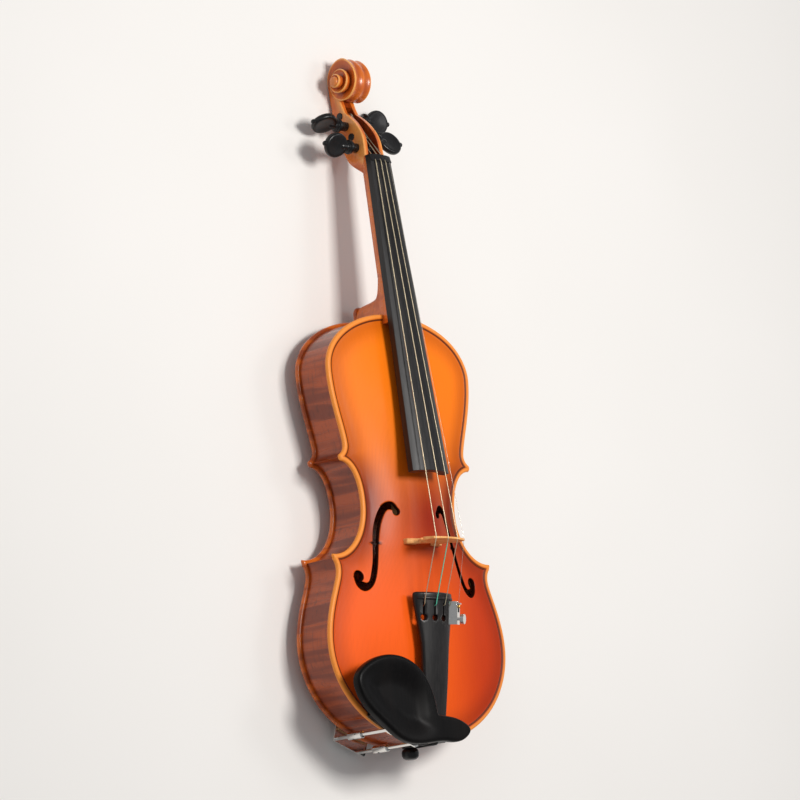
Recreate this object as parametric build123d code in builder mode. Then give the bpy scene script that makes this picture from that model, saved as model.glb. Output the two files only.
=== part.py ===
"""A full-size violin, built as its maker builds it.

Units are millimetres. X runs to the treble side, Y towards the scroll and Z out of the belly, with the
violin lying on its back. The origin is the middle of the bounding box in X and Y, on the surface that the
back and the scroll rest on.
"""
from build123d import *
from math import acos, asin, atan2, cos, pi, radians, sin, sqrt
import os

os.makedirs("parts", exist_ok=True)

# ---- body outline: half widths, and distances down from the upper edge -------------------------------
body_length = 356.0
upper_half, upper_down = 84.0, 50.0
waist_half, waist_down = 55.0, 163.0
lower_half, lower_down = 104.0, 276.0
neck_in_half, neck_in_down = 71.0, 113.0
upper_tip_half, upper_tip_down = 77.5, 122.5
lower_tip_half, lower_tip_down = 93.0, 204.5
low_neck_half, low_neck_down = 90.0, 224.0
tip_width = 4.9
overhang = 3.0

# ---- thicknesses and heights ---------------------------------------------------------------------
back_drop = 15.0
rib_height = 31.0
rib_thickness = 1.2
plate_edge = 4.0
belly_rise = 12.0
belly_middle = 3.0
back_middle = 4.5
edge_land = 7.0
lining_width, lining_height = 2.0, 8.0
purfling_inset, purfling_width, purfling_depth = 4.0, 1.3, 1.8
glue_lip = 0.15
outline_step = 6.0
neck_block_half, neck_block_depth = 26.0, 17.0
end_block_half, end_block_depth = 24.0, 16.0
corner_block_radius = 22.0

# ---- neck, fingerboard and head ------------------------------------------------------------------
button_reach = 12.0
scroll_reach = 225.0
neck_stop = 130.0
overstand = 6.0
nut_glue_drop = 4.9
fingerboard_length = 269.0
fingerboard_nut_width, fingerboard_end_width = 24.0, 42.5
fingerboard_radius = 42.0
fingerboard_side = 5.5
fingerboard_hollow = 3.0
neck_nut_depth, neck_heel_depth = 11.3, 12.1
root_depth = 9.0
root_top_half, root_bottom_half = 16.5, 10.5
heel_reach = 12.5
nut_length, nut_lift = 6.0, 1.0
pegbox_nut_half, pegbox_throat_half, throat_up = 12.3, 8.6, 182.0
pegbox_cheek = 5.0
eye_up, eye_drop = 203.5, 29.0
eye_width, second_turn_width, first_turn_width = 41.0, 30.0, 19.0

# ---- pegs: side, height above the body edge, depth below the belly's glue line, turn in degrees ------
peg_places = {"g_peg": (-1, 144.5, 16.0, 25), "e_peg": (1, 155.0, 21.2, -20),
              "d_peg": (-1, 165.5, 27.5, 60), "a_peg": (1, 175.5, 34.3, 5)}
peg_thin, peg_thick = 3.4, 4.1
peg_reach = 14.5
peg_collar_out = 19.0
peg_collar_radius = 6.2
peg_collar_length = 2.4
peg_head_length, peg_head_half, peg_head_thickness = 25.0, 10.5, 7.0
peg_fit = 0.05

# ---- strings --------------------------------------------------------------------------------------
string_names = ["g_string", "d_string", "a_string", "e_string"]
string_radius = [0.42, 0.42, 0.35, 0.15]
nut_spread, bridge_spread, fret_spread = 16.4, 34.0, 30.0
bridge_down = 194.0
string_bend = 6.0
coil_sink = 1.15
ball_radius = 1.6

# ---- sound holes: the eyes, and the nicks on the bridge's line ---------------------------------------
upper_eye_out, upper_eye_down, upper_eye_radius = 24.4, 167.6, 3.2
lower_eye_out, lower_eye_down, lower_eye_radius = 66.6, 222.0, 4.7
nick = 1.0

# ---- bridge, post and bar -------------------------------------------------------------------------
bridge_foot_half, bridge_foot_depth = 20.5, 4.4
bridge_top_depth = 1.6
post_radius, post_out, post_down = 3.0, 20.0, 199.0
bar_width, bar_out, bar_length, bar_middle_down = 5.5, 16.5, 262.0, 184.0

# ---- tailpiece and its cord ---------------------------------------------------------------------
tailpiece_down, tailpiece_length = 236.0, 104.0
tailpiece_head_height, tailpiece_tip_height = 31.5, 19.0
tailpiece_head_half, tailpiece_waist_half, tailpiece_tip_half = 22.0, 14.0, 11.0
tailpiece_radius, tailpiece_wall, tip_block_depth = 34.0, 4.0, 9.5
fret_down, fret_height, fret_width = 4.0, 1.8, 2.4
keyhole_down, keyhole_radius, keyhole_slot = 21.0, 2.7, 0.75
gut_radius, gut_half_spread, gut_clearance = 1.1, 5.2, 0.15
gut_nut_radius, gut_nut_length = 2.2, 3.2
saddle_half, saddle_depth, saddle_height = 17.5, 7.5, 5.0
button_head_radius, button_neck_radius, button_shank_radius = 7.2, 4.3, 3.6
button_collar_radius = 5.4
button_shank_length = 16.0

# ---- chin rest ---------------------------------------------------------------------------------------
chin_base_height, chin_thickness = 23.0, 8.5
clamp_share = 0.68
clamp_leg_spread = 30.0
clamp_gap = 3.0
rod_radius, barrel_radius, barrel_length = 1.5, 3.2, 16.0
thread_fit = 0.05
clamp_plate = 1.8
clamp_cork = 1.5
clamp_seat = 0.6
clamp_foot_depth = 7.0
clamp_screw_radius, clamp_screw_head, clamp_screw_depth, clamp_screw_spread = 1.2, 2.2, 5.0, 14.0
screw_clearance = 0.1
rod_engagement = 7.0
key_hole_radius = 0.9
chin_foot_depth, chin_cork_thickness = 12.0, 1.2
chin_dish_out, chin_dish_down, chin_dish_depth, chin_dish_radius = -62.0, 318.0, 5.0, 78.0

# ---- E string tuner ----------------------------------------------------------------------------------
tuner_fit = 0.05
tuner_fork_down, tuner_fork_height = 9.1, 7.5
fork_gap = 0.3
tuner_screw_radius, tuner_head_radius, tuner_head_length, tuner_screw_travel = 1.25, 4.2, 3.0, 1.6
tuner_pin_radius = 0.8
tuner_start, tuner_length, tuner_width, tuner_wall = 6.8, 19.0, 7.0, 1.4
tuner_floor, tuner_height = 1.4, 6.2
stud_radius, stud_nut_radius, stud_nut_length = 1.6, 4.0, 2.0
lever_thickness, lever_play = 1.2, 0.2

# ---- places worked out from the sizes above ----------------------------------------------------------
upper_edge = (body_length + button_reach - scroll_reach) / 2
lower_edge = upper_edge - body_length
rib_low = back_drop
rib_top = rib_low + rib_height
back_rise = back_drop - plate_edge
edge_top = rib_top + plate_edge
body_glue_height = edge_top + overstand
nut_glue_height = rib_top - nut_glue_drop
neck_angle = atan2(body_glue_height - nut_glue_height, neck_stop)
neck_up = Vector(0, sin(neck_angle), cos(neck_angle))
neck_down = Vector(0, -cos(neck_angle), sin(neck_angle))
nut_point = Vector(0, upper_edge + neck_stop, nut_glue_height)
bridge_y = upper_edge - bridge_down


def down(x, distance):
    """A point of the plan, given as a distance down from the upper edge."""
    return (x, upper_edge - distance)


def finish(piece, name):
    """Names a finished piece and writes it."""
    piece.part.label = name
    export_step(piece.part, f"parts/{name}.step")
    print(name, round(piece.part.volume, 1), piece.part.is_valid, len(piece.part.solids()))


button_face = Plane(origin=(0, lower_edge + overhang, rib_low + rib_height / 2), x_dir=(1, 0, 0),
                    z_dir=(0, -1, 0))

# ---- outline of belly and back -----------------------------------------------------------------------
with BuildSketch() as plate:
    with BuildLine():
        Bezier(down(0, 0), down(0.552 * upper_half, 0), down(upper_half, 0.448 * upper_down),
               down(upper_half, upper_down))
        Bezier(down(upper_half, upper_down), down(upper_half, upper_down + 25),
               down(neck_in_half + 1.5, neck_in_down - 13), down(neck_in_half, neck_in_down))
        Bezier(down(neck_in_half, neck_in_down), down(neck_in_half - 0.46, neck_in_down + 4),
               down(upper_tip_half - 4.5, upper_tip_down - 2), down(upper_tip_half, upper_tip_down))
        Line(down(upper_tip_half, upper_tip_down),
             down(upper_tip_half - 1.2, upper_tip_down + tip_width - 0.4))
        Bezier(down(upper_tip_half - 1.2, upper_tip_down + tip_width - 0.4),
               down(waist_half + 9, upper_tip_down + tip_width - 0.4),
               down(waist_half, waist_down - 22), down(waist_half, waist_down))
        Bezier(down(waist_half, waist_down), down(waist_half, waist_down + 23),
               down(waist_half + 17, lower_tip_down + 1.5), down(lower_tip_half, lower_tip_down))
        Line(down(lower_tip_half, lower_tip_down),
             down(lower_tip_half - 1.4, lower_tip_down + tip_width))
        Bezier(down(lower_tip_half - 1.4, lower_tip_down + tip_width),
               down(low_neck_half - 1.8, lower_tip_down + tip_width + 3.5),
               down(low_neck_half - 2, low_neck_down - 5.5), down(low_neck_half, low_neck_down))
        Bezier(down(low_neck_half, low_neck_down), down(low_neck_half + 4.8, low_neck_down + 13.2),
               down(lower_half, lower_down - 21), down(lower_half, lower_down))
        lower_bout = Bezier(down(lower_half, lower_down), down(lower_half, lower_down + 44),
                            down(0.577 * lower_half, body_length), down(0, body_length))
        mirror(about=Plane.YZ)
    make_face()


def inset_outline(distance):
    """The plate's outline moved inwards by a distance, each edge redrawn as a smooth spline."""
    with BuildSketch() as inset:
        add(plate.sketch)
        offset(amount=-distance, kind=Kind.INTERSECTION)
    edges = inset.sketch.wire().edges()
    starts = [edge @ 0 for edge in edges]
    with BuildSketch() as smooth:
        with BuildLine():
            for edge, start, end in zip(edges, starts, starts[1:] + starts[:1]):
                steps = max(2, round(edge.length / outline_step))
                middle = [edge @ (step / steps) for step in range(1, steps)]
                Spline([start, *middle, end], tangents=(edge % 0, edge % 1), tangent_scalars=(1, 1))
        make_face()
    return smooth.sketch


rib_outside = inset_outline(overhang)
rib_inside = inset_outline(overhang + rib_thickness)
lining_inside = inset_outline(overhang + rib_thickness + lining_width)


# ---- arching: one height between 0 and 1 for the whole plate -----------------------------------------
def ease(share):
    """A smooth step from 0 to 1."""
    return (1 - cos(pi * share)) / 2


def arch_half_width(distance):
    """Half the width over which the plate is arched, at a distance down from the upper edge."""
    stations = [(upper_down, upper_half), (waist_down, waist_half), (lower_down, lower_half)]
    if distance <= upper_down:
        return upper_half - edge_land
    for (above, wide), (below, next_wide) in zip(stations, stations[1:]):
        if distance <= below:
            return wide + (next_wide - wide) * ease((distance - above) / (below - above)) - edge_land
    return lower_half - edge_land


def arch(x, y):
    """Height of the arching as a share of its crown."""
    along = abs(2 * (upper_edge - y - edge_land) / (body_length - 2 * edge_land) - 1)
    across = abs(x) / arch_half_width(upper_edge - y)
    return (1 - min(along, 1) ** 3) ** 1.4 * (1 - min(across, 1) ** 2.2) ** 1.6


def arch_solid(flat, rise, thickness):
    """What lies between the arched surface flat + rise * arch and a copy of it moved by thickness."""
    margin = 8.0
    columns, rows = 27, 45
    wide = lower_half + margin
    tall = body_length + 2 * margin
    points = [[Vector(-wide + 2 * wide * i / (columns - 1), upper_edge + margin - tall * j / (rows - 1), 0)
               for j in range(rows)] for i in range(columns)]
    lifted = [[Vector(p.X, p.Y, flat + rise * arch(p.X, p.Y)) for p in row] for row in points]
    surface = Face.make_surface_from_array_of_points(lifted, tol=0.02)
    return Solid.extrude(surface, Vector(0, 0, thickness))


deep = edge_top + belly_rise
below_belly_top = arch_solid(edge_top, belly_rise, -deep)
belly_inner_rise = belly_rise + plate_edge - belly_middle
below_belly_inside = arch_solid(rib_top - glue_lip, belly_inner_rise, -deep)
above_back_outside = arch_solid(rib_low - plate_edge, -back_rise, deep)
back_inner_rise = back_drop - back_middle
above_back_inside = arch_solid(rib_low + glue_lip, -back_inner_rise, deep)


# ---- neck with pegbox and scroll ---------------------------------------------------------------------
def neck_section(distance):
    """A plane square to the neck, at a distance from the nut towards the body."""
    return Plane(origin=nut_point + neck_down * distance, x_dir=(1, 0, 0), z_dir=neck_down)


def neck_width(distance):
    """Width of the fingerboard and of the neck's face, at a distance from the nut."""
    return (fingerboard_nut_width
            + (fingerboard_end_width - fingerboard_nut_width) * distance / fingerboard_length)


def neck_across(distance, height):
    """A point of the middle plane (Y, Z), at a distance from the nut and a height over the glue face."""
    point = nut_point + neck_down * distance + neck_up * height
    return (point.Y, point.Z)


handle_length = neck_stop - heel_reach - 18
with BuildPart() as handle:
    for distance, depth in ((-nut_length, neck_nut_depth), (handle_length, neck_heel_depth)):
        half = neck_width(distance) / 2
        with BuildSketch(neck_section(distance)):
            with BuildLine():
                Line((half, 0), (-half, 0))
                Bezier((-half, 0), (-half, -depth * 4 / 3), (half, -depth * 4 / 3), (half, 0))
            make_face()
    loft(ruled=True)

# the heel: its side outline, tapered from the fingerboard down to the back's button
root_y = upper_edge - root_depth
heel_under = neck_across(handle_length, -neck_heel_depth)
heel_top = neck_across(handle_length, 0)
root_top = neck_across(neck_stop / cos(neck_angle) + root_depth, 0)
with BuildPart() as heel:
    with BuildSketch(Plane.YZ):
        with BuildLine():
            Line((root_y, rib_low), (upper_edge + heel_reach, rib_low))
            Bezier((upper_edge + heel_reach, rib_low), (upper_edge + heel_reach + 3, rib_low + 16),
                   (upper_edge + heel_reach + 2, heel_under[1] - 3), heel_under)
            Line(heel_under, heel_top)
            Line(heel_top, (root_y, root_top[1]))
            Line((root_y, root_top[1]), (root_y, rib_low))
        make_face()
    extrude(amount=root_top_half + 1, both=True)
    with BuildSketch(Plane.XZ.offset(-root_y + 1)):
        Polygon((-root_bottom_half, rib_low), (root_bottom_half, rib_low),
                (root_top_half, body_glue_height + 3), (-root_top_half, body_glue_height + 3), align=None)
    extrude(amount=-(root_depth + heel_reach + 40), mode=Mode.INTERSECT)

# ---- pegbox and scroll, drawn from the side and then cut to their plan -------------------------------


def head_point(up, drop):
    """A point of the middle plane, given above the body edge and below the belly's glue line."""
    return (upper_edge + up, rib_top - drop)


def head_plan(nut_half, throat_half):
    """The head's plan: its half width at the nut and at the throat, carried on past the scroll."""
    slope = (throat_half - nut_half) / (throat_up - neck_stop)
    near, far = neck_stop - 12, scroll_reach + 2
    near_half = nut_half + slope * (near - neck_stop)
    far_half = nut_half + slope * (far - neck_stop)
    with BuildSketch() as plan:
        Polygon((-near_half, upper_edge + near), (near_half, upper_edge + near),
                (far_half, upper_edge + far), (-far_half, upper_edge + far), align=None)
    return plan.sketch


def pegbox_half(up):
    """Half the width of the pegbox outside, at a distance above the body edge."""
    share = (up - neck_stop) / (throat_up - neck_stop)
    return pegbox_nut_half + (pegbox_throat_half - pegbox_nut_half) * share


with BuildPart() as pegbox:
    with BuildSketch(Plane.YZ):
        with BuildLine():
            Line(neck_across(0, 0), neck_across(-nut_length, 0))
            front = Spline(neck_across(-nut_length, 0), head_point(145, 6.6),
                           head_point(154, 8.5), head_point(163, 13.5), head_point(170.5, 20),
                           head_point(178, 29))
            Line(front @ 1, head_point(192, 33))
            Line(head_point(192, 33), head_point(eye_up, back_drop + rib_height))
            under = Spline(head_point(eye_up, back_drop + rib_height), head_point(186, 45),
                           head_point(165, 41), head_point(145, 33), head_point(129, 23.5),
                           head_point(122, 15.5), tangents=((-1, 0), (-0.7, 0.7)))
            Line(under @ 1, head_point(122, 8))
            Line(head_point(122, 8), neck_across(0, 0))
        make_face()
    extrude(amount=pegbox_nut_half + 5, both=True)
    with BuildSketch():
        add(head_plan(pegbox_nut_half, pegbox_throat_half))
    extrude(amount=rib_top + plate_edge, mode=Mode.INTERSECT)

# the channel that the strings run into
with BuildPart() as channel:
    with BuildSketch(Plane.YZ):
        with BuildLine():
            floor_line = Spline(head_point(neck_stop + nut_length, 12), head_point(146, 27),
                                head_point(160, 35), head_point(171, 39.4), head_point(179, 39.2),
                                head_point(183, 32))
            Polyline(floor_line @ 1, head_point(183, -9), head_point(neck_stop + nut_length, -9),
                     floor_line @ 0)
        make_face()
    extrude(amount=pegbox_nut_half, both=True)
    with BuildSketch():
        add(head_plan(pegbox_nut_half - pegbox_cheek, pegbox_throat_half - pegbox_cheek + 0.6))
    extrude(amount=rib_top + 20, mode=Mode.INTERSECT)

def eye_point(reach, lift):
    """A point of the middle plane, measured from the scroll's eye."""
    return (upper_edge + eye_up + reach, rib_top - eye_drop + lift)


round_share = 0.552
turn_back = back_drop + rib_height - eye_drop
turn_top = scroll_reach - eye_up
turn_front, turn_throat = 16.0, 15.5
second_turn_radius, third_turn_radius, eye_radius = 11.5, 7.0, 3.8
with BuildPart() as scroll:
    with BuildSketch(Plane.YZ):
        with BuildLine():
            quarters = [(0, -turn_back), (turn_top, 0), (0, turn_front), (-turn_throat, 0), (0, -turn_back)]
            for (reach, lift), (next_reach, next_lift) in zip(quarters, quarters[1:]):
                Bezier(eye_point(reach, lift),
                       eye_point(reach + round_share * next_reach, lift + round_share * next_lift),
                       eye_point(next_reach + round_share * reach, next_lift + round_share * lift),
                       eye_point(next_reach, next_lift))
        make_face()
    extrude(amount=first_turn_width / 2, both=True)
    for wide, radius in ((second_turn_width, second_turn_radius), (eye_width - 5, third_turn_radius),
                         (eye_width, eye_radius)):
        with BuildSketch(Plane.YZ):
            with Locations(eye_point(0, 0)):
                Circle(radius)
        extrude(amount=wide / 2, both=True)

# ---- pegs: each axis square to the pegbox, with its own taper and its own turn -----------------------


def peg_plane(side, up, drop, turn):
    """Origin on the pegbox's middle, Z out along the peg towards its head, X turned about the peg."""
    angle = radians(turn)
    return Plane(origin=(0, upper_edge + up, rib_top - drop), x_dir=(0, cos(angle), sin(angle)),
                 z_dir=(side, 0, 0))


def peg_taper(out):
    """Radius of the peg's shaft, at a distance from the pegbox's middle towards the head."""
    return peg_thin + (peg_thick - peg_thin) * (out + peg_reach) / (peg_reach + peg_collar_out)


def tapered_rod(plane, start, end, extra):
    """The peg's shaft between two distances along it, with something added to its radius."""
    with BuildPart() as rod:
        with BuildSketch(plane.offset(start)):
            Circle(peg_taper(start) + extra)
        with BuildSketch(plane.offset(end)):
            Circle(peg_taper(end) + extra)
        loft()
    return rod.part


with BuildPart() as neck:
    add(handle.part)
    add(heel.part)
    add(pegbox.part)
    add(scroll.part)
    add(channel.part, mode=Mode.SUBTRACT)
    for side, up, drop, turn in peg_places.values():
        add(tapered_rod(peg_plane(side, up, drop, turn), -peg_reach, peg_collar_out, peg_fit),
            mode=Mode.SUBTRACT)
finish(neck, "neck")

# ---- ribs, blocks and linings ------------------------------------------------------------------------
corner_downs = (upper_tip_down + tip_width / 2, lower_tip_down + tip_width / 2)
half_box = lower_half + 5.0
rib_spans = {"upper_rib_bass": (-1, -5.0, corner_downs[0]), "upper_rib_treble": (1, -5.0, corner_downs[0]),
             "centre_rib_bass": (-1, *corner_downs), "centre_rib_treble": (1, *corner_downs),
             "lower_rib": (0, corner_downs[1], body_length + 5.0)}
with BuildPart() as button_bore:
    with BuildSketch(button_face):
        Circle(button_shank_radius)
    extrude(amount=-(button_shank_length + 1))
for name, (side, start, end) in rib_spans.items():
    with BuildPart() as rib:
        with BuildSketch(Plane.XY.offset(rib_low)):
            add(rib_outside)
            add(rib_inside, mode=Mode.SUBTRACT)
        extrude(amount=rib_height)
        add(neck.part, mode=Mode.SUBTRACT)
        add(button_bore.part, mode=Mode.SUBTRACT)
        with BuildSketch(Plane.XY.offset(rib_low)):
            with Locations(down(side * half_box, (start + end) / 2)):
                Rectangle(2 * half_box, end - start)
        extrude(amount=rib_height, mode=Mode.INTERSECT)
    finish(rib, name)

with BuildSketch() as neck_block_plan:
    add(rib_inside)
    with Locations(down(0, overhang + rib_thickness + neck_block_depth / 2)):
        Rectangle(2 * neck_block_half, neck_block_depth, mode=Mode.INTERSECT)
with BuildSketch() as end_block_plan:
    add(rib_inside)
    with Locations(down(0, body_length - overhang - rib_thickness - end_block_depth / 2)):
        Rectangle(2 * end_block_half, end_block_depth, mode=Mode.INTERSECT)
with BuildSketch() as corner_block_plan:
    add(rib_inside)
    with Locations([down(side * tip_half, tip_down)
                    for tip_half, tip_down in ((upper_tip_half, corner_downs[0]),
                                               (lower_tip_half, corner_downs[1])) for side in (-1, 1)]):
        Circle(corner_block_radius, mode=Mode.INTERSECT)
for plan, name in ((neck_block_plan, "neck_block"), (end_block_plan, "end_block"),
                   (corner_block_plan, "corner_blocks")):
    with BuildPart() as block:
        with BuildSketch(Plane.XY.offset(rib_low)):
            add(plan.sketch)
        extrude(amount=rib_height)
        add(neck.part, mode=Mode.SUBTRACT)
        add(button_bore.part, mode=Mode.SUBTRACT)
    finish(block, name)

with BuildSketch() as hollow_plan:
    add(lining_inside)
    for plan in (neck_block_plan, end_block_plan, corner_block_plan):
        add(plan.sketch, mode=Mode.SUBTRACT)
for name, height in (("back_linings", rib_low), ("belly_linings", rib_top - lining_height)):
    with BuildPart() as linings:
        with BuildSketch(Plane.XY.offset(height)):
            add(rib_inside)
            add(lining_inside, mode=Mode.SUBTRACT)
            for plan in (neck_block_plan, end_block_plan, corner_block_plan):
                add(plan.sketch, mode=Mode.SUBTRACT)
        extrude(amount=lining_height)
    finish(linings, name)

# ---- end button, saddle ------------------------------------------------------------------------------
groove_length = 2 * (gut_radius + gut_clearance) + 0.8
button_collar = overhang + gut_clearance - 0.4
button_total = overhang + button_reach
with BuildPart() as end_button:
    with BuildSketch(Plane.YZ):
        with BuildLine():
            centre_z = rib_low + rib_height / 2
            face_y = lower_edge + overhang
            head_start = button_collar + groove_length
            outline = [(button_shank_length, 0), (button_shank_length, button_shank_radius),
                       (0, button_shank_radius),
                       (0, button_collar_radius), (-button_collar, button_collar_radius),
                       (-button_collar - 0.4, button_neck_radius), (-head_start + 0.4, button_neck_radius),
                       (-head_start, button_collar_radius + 0.8), (-head_start - 2.0, button_head_radius),
                       (-button_total + 2.5, button_head_radius - 0.6), (-button_total, button_head_radius - 3.5),
                       (-button_total, 0)]
            Polyline([(face_y + along, centre_z + radius) for along, radius in outline], close=True)
        make_face()
    revolve(axis=Axis((0, face_y, centre_z), (0, 1, 0)))
finish(end_button, "end_button")

saddle_edge = 1.5
with BuildPart() as saddle:
    with BuildSketch(Plane.XY.offset(rib_top)):
        with Locations(down(0, body_length - saddle_depth / 2 + 0.1)):
            Rectangle(2 * saddle_half, saddle_depth)
    extrude(amount=plate_edge + saddle_height)
    fillet(saddle.edges().filter_by(Axis.X).group_by(Axis.Z)[-1], saddle_edge)
finish(saddle, "saddle")


# ---- belly, back and their purfling ------------------------------------------------------------------
def f_hole(side):
    """One sound hole, bass side (-1) or treble side (1): two round eyes and the curved slot between."""
    outer = [(22.6, 165.2), (27.5, 159.8), (34.0, 160.6), (40.5, 168.5), (45.6, 182.0), (48.2, 194.0),
             (50.5, 207.0), (54.5, 220.0), (59.5, 227.5), (64.5, 226.2)]
    inner = [(71.4, 222.5), (69.8, 229.5), (63.5, 234.3), (56.0, 231.5), (49.5, 221.0), (45.5, 206.0),
             (43.0, 194.0), (40.0, 182.0), (35.5, 170.8), (30.8, 165.8), (26.6, 167.0)]
    with BuildSketch() as hole:
        with BuildLine():
            first = Spline([down(side * x, below) for x, below in outer])
            second = Spline([down(side * x, below) for x, below in inner])
            Line(first @ 1, second @ 0)
            Line(second @ 1, first @ 0)
        make_face()
        with Locations(down(side * upper_eye_out, upper_eye_down)):
            Circle(upper_eye_radius)
        with Locations(down(side * lower_eye_out, lower_eye_down)):
            Circle(lower_eye_radius)
        for edge_x, point_x in ((42.5, 44.6), (48.7, 46.6)):
            with BuildLine():
                Polyline(down(side * edge_x, bridge_down - nick), down(side * point_x, bridge_down),
                         down(side * edge_x, bridge_down + nick), close=True)
            make_face()
    return hole.sketch


with BuildPart() as cavity_column:
    with BuildSketch(Plane.XY):
        add(hollow_plan.sketch)
    extrude(amount=rib_top + deep)
with BuildPart() as belly_blank:
    with BuildSketch(Plane.XY.offset(rib_top)):
        add(plate.sketch)
    extrude(amount=plate_edge + belly_rise + 1)
    add(below_belly_top, mode=Mode.INTERSECT)
    add(neck.part, mode=Mode.SUBTRACT)
    add(saddle.part, mode=Mode.SUBTRACT)
with BuildPart() as belly_purfling:
    with BuildSketch(Plane.XY.offset(edge_top - purfling_depth)):
        add(inset_outline(purfling_inset))
        add(inset_outline(purfling_inset + purfling_width), mode=Mode.SUBTRACT)
    extrude(amount=deep)
    add(belly_blank.part, mode=Mode.INTERSECT)
finish(belly_purfling, "belly_purfling")
with BuildPart() as belly_hollow:
    add(cavity_column.part)
    add(below_belly_inside, mode=Mode.INTERSECT)
    with BuildSketch(Plane.XY.offset(rib_top)):
        Rectangle(3 * lower_half, 3 * body_length)
    extrude(amount=deep, mode=Mode.INTERSECT)
with BuildPart() as belly:
    add(belly_blank.part)
    add(belly_hollow.part, mode=Mode.SUBTRACT)
    add(belly_purfling.part, mode=Mode.SUBTRACT)
    with BuildSketch(Plane.XY.offset(rib_top - 1)):
        add(f_hole(-1))
        add(f_hole(1))
    extrude(amount=deep, mode=Mode.SUBTRACT)
finish(belly, "belly")

with BuildSketch() as back_plan:
    add(plate.sketch)
    with Locations(down(0, heel_reach / 2 - heel_reach + 2)):
        RectangleRounded(2 * root_bottom_half, heel_reach + 4, 6)
with BuildPart() as back_blank:
    with BuildSketch(Plane.XY):
        add(back_plan.sketch)
    extrude(amount=rib_low)
    add(above_back_outside, mode=Mode.INTERSECT)
with BuildPart() as back_purfling:
    with BuildSketch(Plane.XY):
        add(inset_outline(purfling_inset))
        add(inset_outline(purfling_inset + purfling_width), mode=Mode.SUBTRACT)
    extrude(amount=rib_low - plate_edge + purfling_depth)
    add(back_blank.part, mode=Mode.INTERSECT)
finish(back_purfling, "back_purfling")
with BuildPart() as back_hollow:
    with BuildSketch(Plane.XY):
        add(hollow_plan.sketch)
    extrude(amount=rib_low)
    add(above_back_inside, mode=Mode.INTERSECT)
with BuildPart() as back:
    add(back_blank.part)
    add(back_hollow.part, mode=Mode.SUBTRACT)
    add(back_purfling.part, mode=Mode.SUBTRACT)
finish(back, "back")

# ---- bass bar and sound post, fitted between the plates ----------------------------------------------
with BuildPart() as bass_bar:
    with BuildSketch(Plane.YZ.offset(-bar_out - bar_width / 2)):
        with BuildLine():
            bar_start = upper_edge - bar_middle_down + bar_length / 2
            bar_end = bar_start - bar_length
            bar_under = ThreePointArc((bar_start, rib_top + 3), (bar_start - bar_length / 2, rib_top + 1.5),
                                      (bar_end, rib_top + 3))
            Polyline(bar_under @ 1, (bar_end, edge_top + belly_rise), (bar_start, edge_top + belly_rise),
                     bar_under @ 0)
        make_face()
    extrude(amount=bar_width)
    add(below_belly_inside, mode=Mode.INTERSECT)
    add(belly_hollow.part, mode=Mode.INTERSECT)
finish(bass_bar, "bass_bar")
with BuildPart() as sound_post:
    with BuildSketch(Plane.XY):
        with Locations(down(post_out, post_down)):
            Circle(post_radius)
    extrude(amount=rib_top + deep)
    add(below_belly_inside, mode=Mode.INTERSECT)
    add(above_back_inside, mode=Mode.INTERSECT)
finish(sound_post, "sound_post")

# ---- fingerboard and nut -----------------------------------------------------------------------------


def crown(half):
    """How far the fingerboard's arc rises over a half width."""
    return fingerboard_radius - sqrt(fingerboard_radius ** 2 - half ** 2)


def board_section(half, side):
    """The board's section: flat underneath, with straight sides and an arc on top."""
    with BuildSketch() as section:
        with BuildLine():
            Polyline((half, side), (half, 0), (-half, 0), (-half, side))
            ThreePointArc((half, side), (0, side + crown(half)), (-half, side))
        make_face()
    return section.sketch


with BuildPart() as fingerboard:
    for distance in (0, fingerboard_length):
        with BuildSketch(neck_section(distance)):
            add(board_section(neck_width(distance) / 2, fingerboard_side))
    loft(ruled=True)
    hollow_start = neck_stop + root_depth + 3
    with BuildSketch(neck_section(hollow_start)):
        Ellipse(neck_width(hollow_start) / 2 - fingerboard_hollow, fingerboard_side)
    extrude(amount=fingerboard_length - hollow_start + 1, mode=Mode.SUBTRACT)
finish(fingerboard, "fingerboard")
with BuildPart() as nut:
    for distance, lift in ((0, nut_lift), (-nut_length, nut_lift - 1.4)):
        with BuildSketch(neck_section(distance)):
            add(board_section(fingerboard_nut_width / 2, fingerboard_side + lift))
    loft(ruled=True)

# ---- tailpiece: a plan outline cut from an arched wall -----------------------------------------------
tail_slope = atan2(tailpiece_head_height - tailpiece_tip_height, tailpiece_length)
tail_top = Vector(0, upper_edge - tailpiece_down, rib_top + tailpiece_head_height)
tail_along = Vector(0, -cos(tail_slope), -sin(tail_slope))
tail_plane = Plane(origin=tail_top, x_dir=(1, 0, 0), z_dir=(0, -sin(tail_slope), cos(tail_slope)))


def tail_section(distance):
    """A plane square to the tailpiece, at a distance from its head."""
    return Plane(origin=tail_top + tail_along * distance, x_dir=(1, 0, 0), z_dir=tail_along)


def arched_wall(start, end, outer, inner):
    """An arched wall along the tailpiece, between two distances and two radii."""
    with BuildPart() as wall:
        with BuildSketch(tail_section(start)):
            with Locations((0, -tailpiece_radius)):
                Circle(outer)
                if inner:
                    Circle(inner, mode=Mode.SUBTRACT)
        extrude(amount=end - start)
    return wall.part


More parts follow.
